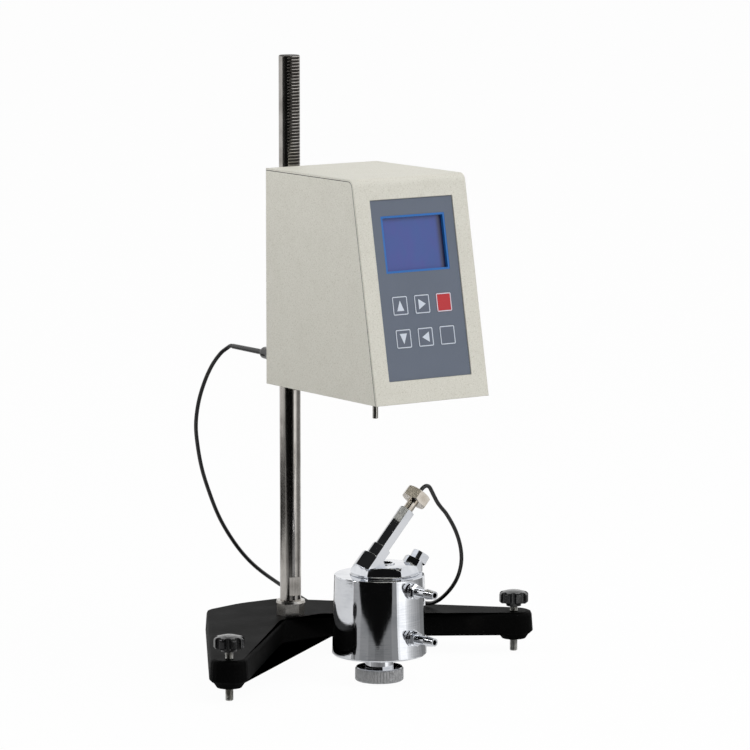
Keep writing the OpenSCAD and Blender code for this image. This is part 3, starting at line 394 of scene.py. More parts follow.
@dataclass(frozen=True)
class KnurledChrome:
    """Chrome with a grained grip round its rim."""

    centre: Vector
    grip_radius: float
    name: str = "knurled_chrome"
    colour: Colour = paint(216, 218, 222)
    grip: Colour = paint(196, 196, 196)
    grip_dark: Colour = paint(74, 72, 70)

    def build(self) -> Material:
        """Makes the finish.

        Returns:
            Its material.
        """
        s = Shader(self.name)
        at = s.place()
        x = s.axis(at, "X") - self.centre.x
        y = s.axis(at, "Y") - self.centre.y
        rim = (x * x + y * y).step(self.grip_radius ** 2, (self.grip_radius + 0.3 * MM) ** 2)
        grain = s.noise(s.stretch(at, (1500.0, 1500.0, 2600.0)), 1.0, 3.0, 0.7)
        tone = s.mix(rim * grain.step(0.44, 0.6), self.colour, self.grip_dark)
        tone = s.mix(rim * grain.step(0.56, 0.38), tone, self.grip)
        return s.close(Base_Color=tone, Metallic=1.0 - rim * 0.35, Roughness=rim * 0.4 + 0.05,
                       Normal=s.bump(grain * rim, 0.00008, 0.6, s.soft_edge(0.0004)))


@dataclass(frozen=True)
class CastPaint:
    """Black wrinkle paint on rough cast iron, worn a little greyer in broad patches."""

    name: str = "black_casting_paint"
    colour: Colour = paint(7, 7, 7)
    worn: Colour = paint(28, 27, 26)
    gloss: float = 0.02

    def build(self) -> Material:
        """Makes the finish.

        Returns:
            Its material.
        """
        s = Shader(self.name)
        at = s.place()
        lumps = s.noise(at, 260.0, 4.0, 0.6)
        broad = s.noise(at, 22.0, 3.0)
        dust = s.cells(at, 700.0).step(0.28, 0.1)
        tone = s.mix(broad.step(0.45, 0.75) * 0.3, self.colour, self.worn)
        tone = s.mix(dust * 0.16, tone, self.worn)
        return s.close(Base_Color=tone, Roughness=0.42 + broad * 0.2, Specular_IOR_Level=self.gloss,
                       Normal=s.bump(lumps, 0.0004, 0.55, s.soft_edge(0.0012)))


@dataclass(frozen=True)
class Moulding:
    """Moulded plastic or rubber with faint flow marks."""

    name: str
    colour: Colour
    pale: Colour
    rough: float
    coat: float = 0.0
    grain: float = 500.0
    relief: float = 0.00003
    edge: float = 0.0004

    def build(self) -> Material:
        """Makes the finish.

        Returns:
            Its material.
        """
        s = Shader(self.name)
        at = s.place()
        skin = s.noise(at, self.grain, 3.0)
        flow = s.noise(at, 35.0, 2.0)
        tone = s.mix(flow.step(0.4, 0.8) * 0.5 + skin.step(0.6, 0.8) * 0.3, self.colour, self.pale)
        return s.close(Base_Color=tone, Roughness=self.rough + (flow - 0.5) * 0.12,
                       Coat_Weight=self.coat, Coat_Roughness=0.12,
                       Normal=s.bump(skin, self.relief, 0.5, s.soft_edge(self.edge)))


@dataclass(frozen=True)
class Film:
    """A velvet-textured printed film over the keys and round the window."""

    name: str
    colour: Colour
    light: Colour
    rough: float = 0.5

    def build(self) -> Material:
        """Makes the finish.

        Returns:
            Its material.
        """
        s = Shader(self.name)
        at = s.place()
        velvet = s.noise(at, 2200.0, 2.0, 0.7)
        sheen = s.noise(at, 18.0, 2.0)
        tone = s.mix(velvet.step(0.35, 0.7) * 0.35 + sheen.step(0.35, 0.75) * 0.25, self.colour, self.light)
        return s.close(Base_Color=tone, Roughness=self.rough + (velvet - 0.5) * 0.12,
                       Normal=s.bump(velvet, 0.00003, 0.5))


@dataclass(frozen=True)
class Glass:
    """The unlit liquid crystal under its window: blue-violet, clouded, with a painted shadow of the window's
    recess along its right side.
    """

    name: str
    left: float
    right: float
    blue: Colour = paint(44, 74, 146)
    violet: Colour = paint(56, 68, 146)
    painted_recess_shadow: Colour = paint(34, 34, 62)

    def build(self) -> Material:
        """Makes the finish.

        Returns:
            Its material.
        """
        s = Shader(self.name)
        at = s.place()
        across = (s.axis(at, "X") - self.left) / (self.right - self.left)
        cloud = s.noise(s.stretch(at, (1.0, 1.0, 0.4)), 70.0, 3.0)
        tone = s.mix(cloud.step(0.3, 0.75), self.blue, self.violet)
        # Painted shadow: the recess's side wall shades the glass along its right edge
        tone = s.mix((across + (cloud - 0.5) * 0.02).step(0.86, 0.94) * 0.9, tone, self.painted_recess_shadow)
        dots = s.noise(at, 3000.0, 1.0)
        return s.close(Base_Color=tone, Roughness=0.3 + dots * 0.1, Coat_Weight=0.6, Coat_Roughness=0.05,
                       Normal=s.bump(dots, 0.00001, 0.3))


def finishes() -> dict[str, Material]:
    """Builds every finish once.

    Returns:
        The materials by the record's slot names.
    """
    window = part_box("display_frame")
    steel = paint(196, 193, 188)
    nut_low, nut_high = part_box("foot_nut")
    chrome = paint(222, 224, 228)
    made = {
        "base_black": CastPaint(),
        "cream_paint": PowderCoat(),
        "moulded_black": Moulding("black_moulding", paint(12, 12, 13), paint(24, 24, 26), 0.26, 0.4, 300.0),
        "lead_rubber": Moulding("black_lead", paint(16, 16, 16), paint(30, 30, 30), 0.34, 0.15, 700.0),
        "nylon": Moulding("white_nylon", paint(214, 212, 202), paint(226, 224, 216), 0.45),
        "board_green": Moulding("green_board", paint(26, 92, 52), paint(44, 120, 70), 0.4, 0.2),
        "motor_grey": Moulding("grey_motor_case", paint(120, 122, 124), paint(140, 142, 144), 0.4),
        "slate_film": Film("slate_film", paint(93, 102, 117), paint(104, 113, 128)),
        "key_slate": Film("slate_key", paint(90, 98, 113), paint(100, 108, 123)),
        "key_red": Film("red_key", paint(184, 34, 42), paint(192, 50, 56)),
        "blue_rim": Film("blue_window_rim", paint(28, 100, 176), paint(44, 120, 196), 0.35),
        "display_violet": Glass("display_glass", window[0].x, window[1].x),
        "column_steel": RackSteel(),
        "nut_steel": Metal("turned_nut_steel", steel, paint(150, 146, 138), 0.28, (500.0, 500.0, 2600.0)),
        "spindle_steel": Metal("spindle_steel", steel, paint(160, 158, 152), 0.22, (400.0, 400.0, 3000.0)),
        "well_steel": Metal("turned_well_steel", steel, paint(168, 166, 162), 0.25, (300.0, 300.0, 3000.0)),
        "zinc": Metal("bright_zinc", paint(190, 190, 186), paint(140, 138, 130), 0.32),
        "foot_nut": KnurledChrome((nut_low + nut_high) / 2, (nut_high.x - nut_low.x) / 2 - 1.0 * MM),
        "chrome": Metal("polished_chrome", chrome, paint(206, 209, 214), 0.04, (60.0, 60.0, 900.0),
                        mark_depth=0.000016, wave=0.00005, edge=0.0005),
        "smooth_chrome": Metal("smooth_chrome", chrome, paint(210, 213, 218), 0.03, (60.0, 60.0, 60.0),
                               wave=0.00003, edge=0.0004),
        "nickel": Metal("satin_nickel", paint(214, 207, 197), paint(190, 182, 170), 0.14,
                        (150.0, 150.0, 150.0)),
        "plate_alloy": Metal("plate_alloy", paint(198, 200, 202), paint(170, 172, 174), 0.36),
        "spring_brass": Metal("spring_brass", paint(196, 160, 88), paint(160, 126, 64), 0.3),
        "bronze": Metal("bearing_bronze", paint(176, 134, 82), paint(140, 100, 58), 0.36),
        "bracket_iron": Metal("bracket_iron", paint(92, 92, 92), paint(64, 64, 64), 0.5),
        "jewel_red": Moulding("bearing_jewel", paint(150, 24, 40), paint(176, 40, 54), 0.12, 0.6),
        "print_white": Film("white_print", paint(208, 216, 228), paint(222, 228, 238)),
    }
    return {slot: finish.build() for slot, finish in made.items()}


# Mesh work


def mesh_piece(name: str, shape: BMesh, material: Material, smooth: float = 35.0) -> Object:
    """Turns a bmesh into a piece in the scene.

    Args:
        name: The piece's name.
        shape: Its mesh, in metres.
        material: Its finish.
        smooth: Edges sharper than this many degrees stay sharp.

    Returns:
        The piece.
    """
    bmesh.ops.recalc_face_normals(shape, faces=shape.faces)
    for edge in shape.edges:
        edge.smooth = len(edge.link_faces) == 2 and edge.calc_face_angle() < math.radians(smooth)
    for face in shape.faces:
        face.smooth = True
    mesh = bpy.data.meshes.new(name)
    shape.to_mesh(mesh)
    shape.free()
    mesh.materials.append(material)
    piece = bpy.data.objects.new(name, mesh)
    bpy.context.scene.collection.objects.link(piece)
    return piece


def settle(piece: Object, body: str, node: str | None = None) -> None:
    """Hangs a piece on its body and hides the CAD node that it stands for.

    Args:
        piece: The piece, in its place.
        body: The body that it rides on.
        node: The CAD node that it stands for, if any.
    """
    if node is not None:
        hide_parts(node)
    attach(piece, body)
    LOG.info("%s made", piece.name)


def skin(shape: BMesh, rings: Sequence[Sequence[Vector]], loop: bool = False) -> None:
    """Joins rings of equal count into a closed skin of quads.

    Args:
        shape: The mesh that it is added to.
        rings: The rings in order.
        loop: Whether the last ring joins the first. Otherwise both ends are capped.
    """
    rows = [[shape.verts.new(point) for point in ring] for ring in rings]
    count = len(rows[0])
    for low, high in zip(rows, [*rows[1:], rows[0]] if loop else rows[1:]):
        for k in range(count):
            j = (k + 1) % count
            shape.faces.new((low[k], low[j], high[j], high[k]))
    if not loop:
        shape.faces.new(rows[0][::-1])
        shape.faces.new(rows[-1])


def smooth_path(points: Sequence[Vector], between: int) -> list[Vector]:
    """A smooth curve through given points.

    Args:
        points: The points.
        between: Steps from each point to the next.

    Returns:
        The curve's points.
    """
    ends = [2 * points[0] - points[1], *points, 2 * points[-1] - points[-2]]
    path = []
    for a, b, c, d in zip(ends, ends[1:], ends[2:], ends[3:]):
        for k in range(between):
            t = k / between
            cubic = (3 * b - a - 3 * c + d) * t ** 3
            path.append(0.5 * (2 * b + (c - a) * t + (2 * a - 5 * b + 4 * c - d) * t ** 2 + cubic))
    return [*path, points[-1]]


def path_length(path: Sequence[Vector]) -> float:
    """The length of a line of points."""
    return sum((b - a).length for a, b in zip(path, path[1:]))


def tube_rings(path: Sequence[Vector], radius: float, sides: int) -> list[list[Vector]]:
    """Rings square to a path, without twist.

    Args:
        path: The centre line.
        radius: The tube's radius.
        sides: Points to a ring.

    Returns:
        The rings.
    """
    rings = []
    across = None
    for k, point in enumerate(path):
        way = (path[min(k + 1, len(path) - 1)] - path[max(k - 1, 0)]).normalized()
        across = way.orthogonal() if across is None else across - way * way.dot(across)
        across.normalize()
        other = way.cross(across)
        rings.append([point + radius * (math.cos(a) * across + math.sin(a) * other)
                      for a in (2 * math.pi * i / sides for i in range(sides))])
    return rings


def stand_at(place: Sequence[float], lean: float = 0.0) -> Matrix:
    """The place of a piece on the vessel, in millimetres, with its lean about the Y axis, in degrees."""
    return Matrix.Translation(place) @ Matrix.Rotation(math.radians(lean), 4, "Y")


# Studio


@dataclass(frozen=True)
class Lamp:
    """One soft square lamp."""

    name: str
    place: Vector
    aim: Vector
    size: float
    power: float
    spread: float = 180.0

    def build(self) -> None:
        """Stands the lamp in its place and points it at its aim."""
        data = bpy.data.lights.new(self.name, "AREA")
        data.shape, data.size, data.energy = "SQUARE", self.size, self.power
        data.spread = math.radians(self.spread)
        lamp = bpy.data.objects.new(self.name, data)
        bpy.context.scene.collection.objects.link(lamp)
        lamp.location = self.place
        lamp.rotation_euler = (self.aim - self.place).to_track_quat("-Z", "Y").to_euler()


@dataclass(frozen=True)
class PaintedReflectionCard:
    """A painted reflection over a sector of the table round the vessel, the shaded table where dim and a
    bright softbox where above 1: its headings, its brightness and where it starts and ends.
    """

    first: float
    last: float
    level: float
    near: float = 0.06
    reach: float = 7.0


@dataclass
class Studio:
    """The camera, lamps, floor and reflecting cards. Headings are in degrees to the camera's right."""

    lens: float = 221.24
    sensor: float = 36.0
    clip_end: float = 40.0
    eye: Vector = Vector((-2.50093, -3.62479, 0.92156))
    right: Vector = Vector((0.823142, -0.567835, 0.0))
    back: Vector = Vector((-0.562259, -0.815059, 0.139800))
    lamps: tuple[Lamp, ...] = (
        Lamp("key_lamp", Vector((0.9, -2.2, 3.4)), Vector((0.0, 0.05, 0.32)), 2.2, 74.0),
        Lamp("side_lamp", Vector((-1.7, 0.55, 1.7)), Vector((-0.1, 0.1, 1.05)), 0.6, 2.4, 52.0))
    world_level: float = 0.46
    floor_size: float = 9.0
    floor_place: Vector = Vector((0.0, 2.0, -0.0006))
    floor_seen: float = 0.97
    floor_mirrored: float = 0.4
    # Painted reflections by heading: dim cards for the shaded table, levels over 1 for a bright softbox band
    painted_tone_turns: tuple[float, ...] = (
        -66.0, -45.0, -25.0, -10.0, 10.0, 28.0, 43.0, 48.0, 66.0, 71.0, 76.0, 82.0, 88.0, 95.0, 104.0,
        115.0, 140.0)
    painted_tone_levels: tuple[float, ...] = (
        0.38, 0.3, 0.24, 0.2, 0.24, 0.3, 1.1, 1.35, 1.05, 0.85, 0.7, 0.58, 0.5, 0.42, 0.34, 0.25)
    painted_tone_patches: tuple[PaintedReflectionCard, ...] = (
        PaintedReflectionCard(84.0, 120.0, 0.1, near=0.9), PaintedReflectionCard(-140.0, -60.0, 0.03, 0.78, 1.5),
        PaintedReflectionCard(-140.0, -84.0, 0.85, near=1.5))
    table_edge: Profile = (
        (7.0, 33.0), (0.74, 32.0), (0.53, 30.0), (0.46, 20.0), (0.39, 10.0), (0.33, 2.0), (0.305, -3.0),
        (0.33, -9.0), (0.39, -17.0), (0.46, -29.0), (0.53, -41.0), (0.675, -49.0), (1.5, -57.0), (7.0, -60.0))
    edge_level: float = 0.004
    ceiling: float = 2.6
    ceiling_clear: float = 42.0
    ceiling_level: float = 0.02
    dark_room: Pair = (-57.0, 27.0)
    room_rise: float = 0.2
    room_level: float = 0.008
    dark_side: Pair = (-82.0, -57.0)
    side_rise: float = 0.9
    side_level: float = 0.04

    def camera(self) -> None:
        """Sets up the camera, level across and pitched down a little."""
        data = bpy.data.cameras.new("camera")
        data.lens, data.sensor_width = self.lens, self.sensor
        data.clip_end = self.clip_end
        camera = bpy.data.objects.new("camera", data)
        bpy.context.scene.collection.objects.link(camera)
        up = self.back.cross(self.right)
        turn = Matrix((self.right, up, self.back)).transposed().to_4x4()
        camera.matrix_world = Matrix.Translation(self.eye) @ turn
        bpy.context.scene.camera = camera
        bpy.context.scene.view_settings.view_transform = "Standard"

    def world(self) -> None:
        """A level world that shows white to the camera and in reflections."""
        s = Shader("studio_world", world=True)
        bpy.context.scene.world = s.owner
        seen = s.ray("Camera").most(s.ray("Glossy")).most(s.ray("Transmission"))
        level = seen * (1.0 - self.world_level) + self.world_level
        light = s.node("ShaderNodeBackground", {"Color": WHITE, "Strength": level})
        s.node("ShaderNodeOutputWorld", {0: light.outputs[0]})

    def floor(self) -> None:
        """A plain white floor that keeps the shadow under the base."""
        s = Shader("studio_floor")
        seen = s.ray("Camera").most(s.ray("Transmission")) * self.floor_seen
        seen = seen.most(s.ray("Glossy") * self.floor_mirrored)
        plain = s.node("ShaderNodeBsdfDiffuse", {"Color": (0.9, 0.9, 0.9, 1.0)})
        bright = s.node("ShaderNodeEmission", {"Color": WHITE, "Strength": 1.0})
        both = s.node("ShaderNodeMixShader", {0: seen, 1: plain.outputs[0], 2: bright.outputs[0]})
        s.node("ShaderNodeOutputMaterial", {0: both.outputs[0]})
        shape = bmesh.new()
        bmesh.ops.create_grid(shape, x_segments=2, y_segments=2, size=self.floor_size,
                              matrix=Matrix.Translation(self.floor_place))
        mesh_piece("floor", shape, s.owner)

    def card(self, name: str, corners: Sequence[Vector], level: float) -> None:
        """Adds a card that only shows in reflections.

        Args:
            name: The card's name.
            corners: Its corners in order.
            level: Its brightness, 0 for black.
        """
        s = Shader(name)
        glow = s.node("ShaderNodeEmission", {"Color": WHITE, "Strength": level})
        s.node("ShaderNodeOutputMaterial", {0: glow.outputs[0]})
        shape = bmesh.new()
        shape.faces.new([shape.verts.new(corner) for corner in corners])
        card = mesh_piece(name, shape, s.owner)
        for ray in ("camera", "diffuse", "shadow", "transmission", "volume_scatter"):
            setattr(card, f"visible_{ray}", False)

    def cards(self, about: Vector) -> None:
        """Sets out the dark surroundings of the bright table, as they show in chrome, with painted
        reflections of the shaded table and of a bright softbox.

        Args:
            about: The vessel's axis at floor level.
        """
        ahead = Vector((self.back.x, self.back.y, 0.0)).normalized()
        side = Vector((self.right.x, self.right.y, 0.0))

        def spot(reach: float, heading: float, height: float = 0.001) -> Vector:
            """A point round the vessel, by its distance, its heading and its height."""
            turn = math.radians(heading)
            way = math.cos(turn) * ahead + math.sin(turn) * side
            return about + reach * way + Vector((0.0, 0.0, height))

        far = self.ceiling / math.tan(math.radians(self.ceiling_clear))

        def wall(name: str, ends: Pair, rise: float, level: float) -> None:
            """An upright card between two headings, which rises past the ceiling by rise."""
            foot, top = ([spot(far, heading, height) for heading in ends]
                         for height in (0.003, self.ceiling + rise))
            self.card(name, [*foot, *top[::-1]], level)

        # Painted reflections: glowing cards seen only in chrome, for the shaded table and a softbox
        sectors = map(PaintedReflectionCard, self.painted_tone_turns, self.painted_tone_turns[1:], self.painted_tone_levels)
        for number, tone in enumerate([*sectors, *self.painted_tone_patches], 1):
            turns = [tone.first, (tone.first + tone.last) / 2, tone.last]
            rim = [spot(tone.near, heading) for heading in turns]
            rim += [spot(tone.reach, heading) for heading in turns[::-1]]
            self.card(f"table_tone_{number}", rim, tone.level)
        edge = [spot(reach, heading, 0.002) for reach, heading in self.table_edge]
        self.card("dark_table_edge", edge, self.edge_level)
        rim = [spot(far, heading, self.ceiling) for heading in range(0, 360, 15)]
        self.card("dark_ceiling", rim, self.ceiling_level)
        wall("dark_room", self.dark_room, self.room_rise, self.room_level)
        wall("dark_side_82", self.dark_side, self.side_rise, self.side_level)

    def build(self) -> None:
        """Makes everything but the camera."""
        self.world()
        self.floor()
        for lamp in self.lamps:
            lamp.build()
        low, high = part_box("foot_nut")
        self.cards(Vector(((low.x + high.x) / 2, (low.y + high.y) / 2, 0.0)))
        LOG.info("studio: floor, cards and lamps")


# Leads


@dataclass
class Lead:
    """One end of the round probe lead, which bends between the stand and what it plugs into.

    Still and moving, two points of its route by number, on the stand and on its body, are not used.
    """

    name: str
    node: str
    body: str
    route: Sequence[Triple]
    still: int
    moving: int
    diameter: float = 4.0 * MM
    sides: int = 16

    def path(self) -> list[Vector]:
        """The lead's centre line, in metres."""
        return smooth_path([Vector(point) * MM for point in self.route], 6)

    def build(self, material: Material) -> None:
        """Args:
            material: Its rubber.
        """
        path = self.path()
        shape = bmesh.new()
        skin(shape, tube_rings(path, self.diameter / 2, self.sides))
        piece = mesh_piece(self.name, shape, material)
        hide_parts(self.node)
        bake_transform(piece)
        path_length(path)
        LOG.info("%s: %.3f m long", self.name, path_length(path))


def probe_axis(out: float) -> Triple:
    """A point on the probe's axis, out millimetres from the outer face of its nut."""
    return tuple(stand_at(PROBE_FOOT, PROBE_LEAN) @ Vector((0.0, 0.0, PROBE_END + out)))


JOIN = (159.0, 208.0, 2.4)
HEAD_ROUTE = (
    (-57, 165.8, 314), (-57, 168.6, 314), (-58, 173, 311.6), (-62.6, 179, 305.4), (-66.2, 189, 292.7),
    (-68.8, 199, 275), (-70.2, 208, 253.5), (-68.9, 215, 230.5), (-63.9, 220, 208.5), (-56.5, 224, 184),
    (-46, 228, 160), (-32.6, 232, 134), (-17.6, 235, 111.5), (0.5, 238, 90), (20.8, 241, 71.7),
    (49, 245, 52.3), (72, 249, 38.5), (93, 252, 25.5), (110, 252.5, 14), (126, 250, 6), (141, 243, 2.8),
    (152, 232, 2.4), (158, 219, 2.4), JOIN)
VESSEL_ROUTE = (
    JOIN, (155, 199, 2.4), (147, 188, 2.4), (138.5, 176.5, 2.5), (131, 165, 3.5),
    (127.5, 157, 9), (127.2, 149.6, 20), (128.2, 143.9, 31.5), (129.4, 136.4, 42), (131.5, 125.5, 44.3),
    (134.5, 113.5, 44), (137.8, 101.5, 44.8), (139.1, 90, 49.5), (141, 79, 57.8), (142, 68, 68.5),
    (140.2, 57, 80.6), (136.3, 47, 94.3), (129, 37, 108.2), (118.6, 27, 123.4), (106.2, 18, 138.4),
    (92.4, 11, 153.3), (84.6, 8, 160.2), (77.5, 5, 166.8), (71.5, 2, 173.7), (66.3, -0.6, 180.2),
    (62, -2.6, 185), (57.8, -3.5, 186.4), (54.5, -3.9, 185.5), probe_axis(3.8), probe_axis(0.3))


# Panel


class Arrow(Enum):
    """Which way a key's arrow points: degrees from upward."""

    UP = 0.0
    RIGHT = -90.0
    DOWN = 180.0
    LEFT = 90.0


@dataclass
class Panel:
    """The sloping keypad with its printed key outlines and arrows."""

    lean: float = 11.0
    line: float = 0.95 * MM
    inset: float = 0.1 * MM
    corner: float = 1.5 * MM
    least_corner: float = 0.3 * MM
    corner_steps: int = 5
    print_depth: float = 0.06 * MM
    print_edge: float = 0.1 * MM
    sunk: float = 0.02 * MM
    arrow_w: float = 8.2 * MM
    arrow_h: float = 10.0 * MM

    def frame(self) -> Matrix:
        """The turn from the panel's own axes, across, up and outward, to the row's."""
        return Matrix.Rotation(math.radians(90.0 - self.lean), 3, "X")

    def face(self, node: Object) -> tuple[Vector, float, float]:
        """Finds the outer face of a node on the panel.

        Args:
            node: The CAD node.

        Returns:
            The face's centre in the panel's axes, its half width and its half height.
        """
        turn = self.frame().transposed()
        points = [turn @ vertex.co for vertex in node.data.vertices]
        low = Vector([min(p[k] for p in points) for k in range(3)])
        high = Vector([max(p[k] for p in points) for k in range(3)])
        middle = (low + high) / 2
        return Vector((middle.x, middle.y, high.z)), (high.x - low.x) / 2, (high.y - low.y) / 2

    def outline(self, half_w: float, half_h: float, radius: float) -> list[Vector]:
        """A rectangle with round corners.

        Args:
            half_w: Half its width.
            half_h: Half its height.
            radius: Its corners' radius.

        Returns:
            Its points.
        """
        points = []
        for k, (x, y) in enumerate(((1, 1), (-1, 1), (-1, -1), (1, -1))):
            for j in range(self.corner_steps + 1):
                a = math.pi / 2 * (k + j / self.corner_steps)
                points.append(Vector((x * (half_w - radius) + radius * math.cos(a),
                                      y * (half_h - radius) + radius * math.sin(a), 0.0)))
        return points

    def outline_print(self, key: str, node: Object, ink: Material) -> None:
        """Prints the pale line round a key.

        Args:
            key: The key's name.
            node: Its CAD node.
            ink: The ink.
        """
        centre, half_w, half_h = self.face(node)
        rings = []
        for across, height in ((0.0, -self.sunk), (self.print_edge, self.print_depth),
                               (self.line - self.print_edge, self.print_depth), (self.line, -self.sunk)):
            inward = self.inset + across
            corner = max(self.corner - inward, self.least_corner)
            ring = self.outline(half_w - inward, half_h - inward, corner)
            rings.append([self.frame() @ (centre + point + Vector((0.0, 0.0, height))) for point in ring])
        shape = bmesh.new()
        skin(shape, rings, loop=True)
        settle(mesh_piece(f"{key}_outline", shape, ink), f"{key}_key")

    def arrow_print(self, way: Arrow, node: Object, ink: Material) -> None:
        """Prints a plain arrow head on a key.

        Args:
            way: Where it points.
            node: The key's CAD node.
            ink: The ink.
        """
        key = way.name.lower()
        centre, _, _ = self.face(node)
        turn = Matrix.Rotation(math.radians(way.value), 3, "Z")
        upright = way in (Arrow.UP, Arrow.DOWN)
        wide, tall = (self.arrow_w, self.arrow_h) if upright else (self.arrow_h, self.arrow_w)
        corners = [Vector((x * wide / 2, y * tall / 2, 0.0)) for x, y in ((-1, -1), (1, -1), (0, 1))]
        shape = bmesh.new()
        skin(shape, [[self.frame() @ (centre + turn @ (corner * grow) + Vector((0.0, 0.0, height)))
                      for corner in corners]
                     for grow, height in ((1.0, -self.sunk), (0.99, self.print_depth))])
        settle(mesh_piece(f"{key}_arrow", shape, ink), f"{key}_key")

    def build(self, nodes: dict[str, Object], ink: Material) -> None:
        """Prints all the keys.

        Args:
            nodes: The CAD nodes.
            ink: The ink.
        """
        for key in KEYS:
            self.outline_print(key, nodes[f"key_{key}"], ink)
        for way in Arrow:
            self.arrow_print(way, nodes[f"key_{way.name.lower()}"], ink)


# Stand


@dataclass
class LevellingStud:
    """A threaded levelling foot. Flank is how steep its thread is, and root how much of it stays flat."""

    side: str
    pitch: float = 1.25 * MM
    depth: float = 0.62 * MM
    flank: float = 2.6
    root: float = 0.15
    chamfer: float = 0.9 * MM
    rows: int = 8
    steps: int = 28

    def build(self, material: Material) -> None:
        """Makes the stud in place of its plain CAD bar.

        Args:
            material: Its zinc.
        """
        node = f"{self.side}_stud"
        low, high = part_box(node)
        centre = (low + high) / 2
        radius = (high.x - low.x) / 2
        height = high.z - low.z
        rows = int(height / self.pitch * self.rows)
        rings = []
        for k in range(rows + 1):
            z = low.z + height * k / rows
            end = min(z - low.z, high.z - z)
            ring = []
            for i in range(self.steps):
                a = 2 * math.pi * i / self.steps
                phase = ((z - low.z) / self.pitch - i / self.steps) % 1.0
                rise = min(1.0, max(0.0, abs(phase - 0.5) * self.flank - self.root))
                r = radius - self.depth * (1 - rise)
                if end < self.chamfer:
                    r = min(r, radius - self.chamfer + end)
                ring.append(Vector((centre.x + r * math.cos(a), centre.y + r * math.sin(a), z)))
            rings.append(ring)
        shape = bmesh.new()
        skin(shape, rings)
        piece = mesh_piece(f"{self.side}_stud_thread", shape, material, 50.0)
        settle(piece, f"{self.side}_screw", node)


# Head seam


@dataclass
class CoverSeam:
    """The dark gap where the folded front cover meets the side shell, as a thin strip on each side."""

    half_width: float = 65.0
    foot: Profile = ((-94.2, 286.8), (-84.9, 336.5))
    slope: float = 11.0
    bend: Pair = (-49.19, 488.5)
    bend_radius: float = 6.0
    bend_steps: int = 6
    back: float = 91.6
    gap: float = 0.6
    proud: float = 0.05
    depth: float = 0.4

    def line(self) -> list[Vector]:
        """Follows the seam up the front's slope, round its bend and back along the top.

        Returns:
            Its points, back and up, in millimetres.
        """
        points = [Vector(point) for point in self.foot]
        for k in range(self.bend_steps + 1):
            a = math.radians(180.0 - self.slope - (90.0 - self.slope) * k / self.bend_steps)
            points.append(Vector(self.bend) + self.bend_radius * Vector((math.cos(a), math.sin(a))))
        return [*points, Vector((self.back, points[-1].y))]

    def build(self, material: Material) -> None:
        """Makes both strips.

        Args:
            material: Their dark finish.
        """
        shape = bmesh.new()
        points = self.line()
        for side in (-1, 1):
            rings = []
            for k, point in enumerate(points):
                way = (points[min(k + 1, len(points) - 1)] - points[max(k - 1, 0)]).normalized()
                off = Vector((-way.y, way.x)) * self.gap / 2
                outer, inner = (side * (self.half_width + reach) for reach in (self.proud, -self.depth))
                corners = ((outer, point + off), (outer, point - off),
                           (inner, point - off), (inner, point + off))
                rings.append([Vector((x, at.x, at.y)) * MM for x, at in corners])
            skin(shape, rings)
        settle(mesh_piece("cover_seam", shape, material), "head")


# Vessel top


@dataclass(frozen=True)
class Bar:
    """A bored hexagon bar on the probe's axis: its width across flats, its two ends and its hole's radius."""

    across: float
    low: float
    high: float
    bore: float
    both_turned: bool = False


